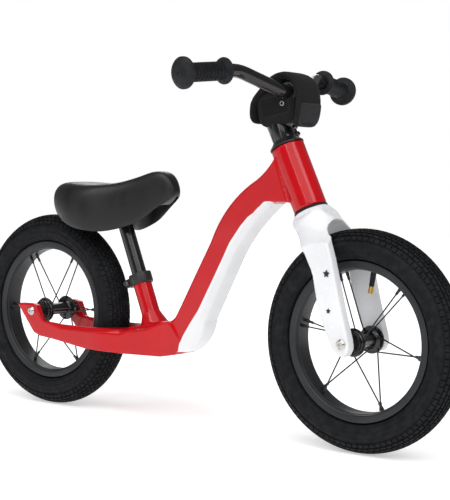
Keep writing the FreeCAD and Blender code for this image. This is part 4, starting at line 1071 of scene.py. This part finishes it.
def make_pad_flap():
    """The flap that closes the pad in front, and its rows of stitches."""
    bm = bmesh.new()
    band(bm, 26, 18, flap_point)
    piece_from(bm, "bar_pad_flap", "steering", "pad_cloth", "pad_flap", crease=60)
    stitches = bmesh.new()
    count = 26
    for (share, across), (run, sideways) in STITCH_ROWS:
        for number in range(count):
            along, beside = share + run * number / count, across + sideways * number / count
            start = flap_point(along, beside, STITCH_LIFT)
            end = flap_point(along + run / count * 0.6, beside + sideways / count * 0.6, STITCH_LIFT)
            rod(stitches, [start, start.lerp(end, 0.5), end], STITCH_RADII, 6)
    piece_from(stitches, "bar_pad_stitches", "steering", "pad_cloth", "thread")


class BIKE_OT_pad(bpy.types.Operator):
    """Make the cloth pad over the stem and the bar"""

    bl_idname = "bike.pad"
    bl_label = "Handlebar Pad"

    def execute(self, context):
        make_pad()
        # A dark block inside the fold stands in for the shade there.
        make_pad_shade_block()
        make_pad_flap()
        return {"FINISHED"}


# ---- saddle

# The saddle's outlines, as (ahead, height or half width) in millimetres.
SADDLE_TOP = [
    (-268, 340), (-258, 348), (-242, 352.5), (-215, 352.5), (-178, 350.5), (-140, 353), (-104, 362),
    (-76, 370.5), (-60, 369.5), (-48, 362), (-38, 349),
]
SADDLE_SKIRT = [
    (-268, 322), (-250, 307), (-228, 295), (-204, 286.5), (-176, 281), (-150, 280), (-118, 287.5),
    (-90, 299), (-62, 320), (-38, 336),
]
SADDLE_WIDTH = [
    (-268, 56), (-240, 60), (-205, 64), (-172, 58), (-140, 42), (-108, 30), (-78, 24.5), (-38, 22),
]

# The cover's rings from the middle of its hollow to the middle of its top: how far each is from
# the spine, and its share of the side's height, or above 1 its height in millimetres.
SADDLE_RINGS = [
    (0.0, 320.9), (0.35, 320.9), (0.74, 320.9), (0.80, 0.30), (0.84, 0.04), (0.88, -0.02), (0.93, -0.015),
    (0.965, 0.02), (0.985, 0.10), (1.0, 0.25), (1.0, 0.42), (0.985, 0.60), (0.945, 0.76), (0.87, 0.885),
    (0.74, 0.96), (0.55, 0.99), (0.28, 1.0), (0.0, 1.0),
]


def saddle_ring(bm, count, shrink, height):
    """One ring of the saddle, its plan shrunk towards a spine."""
    rear, nose = SADDLE_TOP[0][0], SADDLE_TOP[-1][0]
    middle, reach = (rear + nose) / 2, (nose - rear) / 2
    ring = bmesh.ops.create_circle(bm, segments=count, radius=1)
    for vert in ring["verts"]:
        turn = math.atan2(vert.co.y, vert.co.x)
        along = middle + reach * math.cos(turn)
        wide = through(SADDLE_WIDTH, along) * abs(math.sin(turn)) ** 0.55
        spine = min(max(along, rear + 62), nose - 20)
        ahead = spine + (along - spine) * shrink
        low, high = through(SADDLE_SKIRT, ahead), through(SADDLE_TOP, ahead)
        level = max(height, low) if height > 1 else low + (high - low) * height
        vert.co = Vector((ahead, math.copysign(wide * shrink, math.sin(turn)), level))
        vert.co *= MM
    return list({edge for vert in ring["verts"] for edge in vert.link_edges})


def make_saddle():
    """The saddle's padded cover: a domed top, deep sides and a hollow underneath."""
    bm = bmesh.new()
    rings = [saddle_ring(bm, 88, shrink, height) for shrink, height in SADDLE_RINGS]
    for first, second in zip(rings, rings[1:]):
        bmesh.ops.bridge_loops(bm, edges=first + second)
    saddle = piece_from(bm, "saddle_padded", "seat", "saddle_skin", replaced=["saddle_cover"], crease=80)
    subdivided(saddle)


class BIKE_OT_saddle(bpy.types.Operator):
    """Make the saddle, and finish its post and fixings"""

    bl_idname = "bike.saddle"
    bl_label = "Saddle"

    def execute(self, context):
        make_saddle()
        dress("saddle_plastic", "saddle_base")
        dress("black_satin", "saddle_bracket")
        dress("dark_steel", "saddle_screws")
        dress("black_gloss", "seat_post")
        return {"FINISHED"}


# ---- stage


# Soft lights: name, place, what each is aimed at, width, height and power.
SOFTBOXES = [
    ("key_light", (2.3, -0.6, 1.7), (0.1, 0, 0.25), 0.9, 1.8, 13),
    ("side_light", (-1.6, -2.1, 0.9), (-0.1, 0, 0.25), 0.8, 1.6, 2.6),
    ("strip_light", (0.75, -2.4, 1.1), (0.2, 0, 0.3), 0.22, 1.6, 4.5),
    ("rim_light", (-1.4, 1.7, 1.4), (0, 0, 0.25), 1.2, 1.2, 10),
    ("top_light", (-0.5, -1.3, 2.0), (0.1, 0, 0.35), 0.35, 2.2, 7),
]


def placed(name, data):
    """A new object in the scene."""
    item = bpy.data.objects.new(name, data)
    bpy.context.collection.objects.link(item)
    return item


def softbox(name, place, aim, width, height, power):
    """A rectangular light that faces what it is aimed at."""
    light = bpy.data.lights.new(name, "AREA")
    light.shape = "RECTANGLE"
    light.size, light.size_y = width, height
    light.energy = power
    lamp = placed(name, light)
    lamp.location = place
    lamp.rotation_euler = (Vector(aim) - Vector(place)).to_track_quat("-Z", "Y").to_euler()


def make_daylight():
    """A broad, soft sun."""
    daylight = bpy.data.lights.new("daylight", "SUN")
    daylight.energy = 1.75
    daylight.angle = math.radians(70)
    placed("daylight", daylight).rotation_euler = (math.radians(28), math.radians(18), 0)


def make_world():
    """White surroundings, which light the bike less than they look."""
    world = bpy.data.worlds.new("studio")
    world.use_nodes = True
    tree = world.node_tree
    surroundings = tree.nodes["Background"]
    surroundings.inputs["Color"].default_value = (1, 1, 1, 1)
    sight = tree.nodes.new("ShaderNodeLightPath")
    level = tree.nodes.new("ShaderNodeMapRange")
    level.inputs["To Min"].default_value = 0.2
    level.inputs["To Max"].default_value = 1.0
    tree.links.new(sight.outputs["Is Camera Ray"], level.inputs["Value"])
    tree.links.new(level.outputs["Result"], surroundings.inputs["Strength"])
    bpy.context.scene.world = world


def make_backdrop():
    """A plain, pale floor."""
    bm = bmesh.new()
    bmesh.ops.create_grid(bm, x_segments=1, y_segments=1, size=6)
    mesh = bpy.data.meshes.new("studio_floor")
    bm.to_mesh(mesh)
    bm.free()
    pale = Finish("pale floor", Specular_IOR_Level=0.1, Emission_Strength=0.45)
    pale.surface("Emission Color", (1, 1, 1))
    pale.surface("Base Color", pale.shaded((0.93, 0.93, 0.93), 0.01, 2))
    pale.surface("Roughness", 0.9)
    mesh.materials.append(pale.material)
    placed("studio_floor", mesh)


def make_camera():
    """The camera, ahead of the bike on its right, aimed a little downwards."""
    camera = bpy.data.cameras.new("camera")
    camera.sensor_width = 36
    camera.sensor_fit = "AUTO"
    camera.lens = 94.40
    camera.shift_x, camera.shift_y = -0.0228, 0.0006
    holder = placed("camera", camera)
    yaw, pitch, roll = math.radians(127.2375), math.radians(-3.208), math.radians(1.092)
    ahead = Vector((math.cos(pitch) * math.cos(yaw), math.cos(pitch) * math.sin(yaw), math.sin(pitch)))
    right = ahead.cross(Vector((0, 0, 1))).normalized()
    up = right.cross(ahead)
    right, up = right * math.cos(roll) + up * math.sin(roll), up * math.cos(roll) - right * math.sin(roll)
    turn = Matrix((right, up, -ahead)).transposed()
    holder.matrix_world = Matrix.Translation((1.19896, -1.48187, 0.36461)) @ turn.to_4x4()
    bpy.context.scene.camera = holder


class BIKE_OT_stage(bpy.types.Operator):
    """Make the floor, the lights and the camera"""

    bl_idname = "bike.stage"
    bl_label = "Stage"

    def execute(self, context):
        make_backdrop()
        make_camera()
        for details in SOFTBOXES:
            softbox(*details)
        make_daylight()
        make_world()
        context.scene.view_settings.view_transform = "Standard"
        context.scene.view_settings.exposure = 0.0
        return {"FINISHED"}


# ---- add-on


class BIKE_PT_panel(bpy.types.Panel):
    """The bike's sizes, colours and pieces"""

    bl_idname = "BIKE_PT_panel"
    bl_label = "Balance Bike"
    bl_space_type = "VIEW_3D"
    bl_region_type = "UI"
    bl_category = "Bike"

    def draw(self, context):
        for group in (context.scene.bike_sizes, context.scene.bike_colours):
            for name in group.__annotations__:
                self.layout.prop(group, name)
        for operator in operators:
            self.layout.operator(operator.bl_idname)


operators = (
    BIKE_OT_stage, BIKE_OT_wheels, BIKE_OT_frame, BIKE_OT_fork, BIKE_OT_handlebar, BIKE_OT_pad,
    BIKE_OT_saddle,
)
classes = (BikeSizes, BikeColours, *operators, BIKE_PT_panel)


def register():
    for item in classes:
        bpy.utils.register_class(item)
    bpy.types.Scene.bike_sizes = PointerProperty(type=BikeSizes)
    bpy.types.Scene.bike_colours = PointerProperty(type=BikeColours)


def unregister():
    del bpy.types.Scene.bike_sizes
    del bpy.types.Scene.bike_colours
    for item in reversed(classes):
        bpy.utils.unregister_class(item)


def main():
    register()
    for operator in operators:
        group, name = operator.bl_idname.split(".")
        getattr(getattr(bpy.ops, group), name)()


if __name__ == "__main__":
    main()
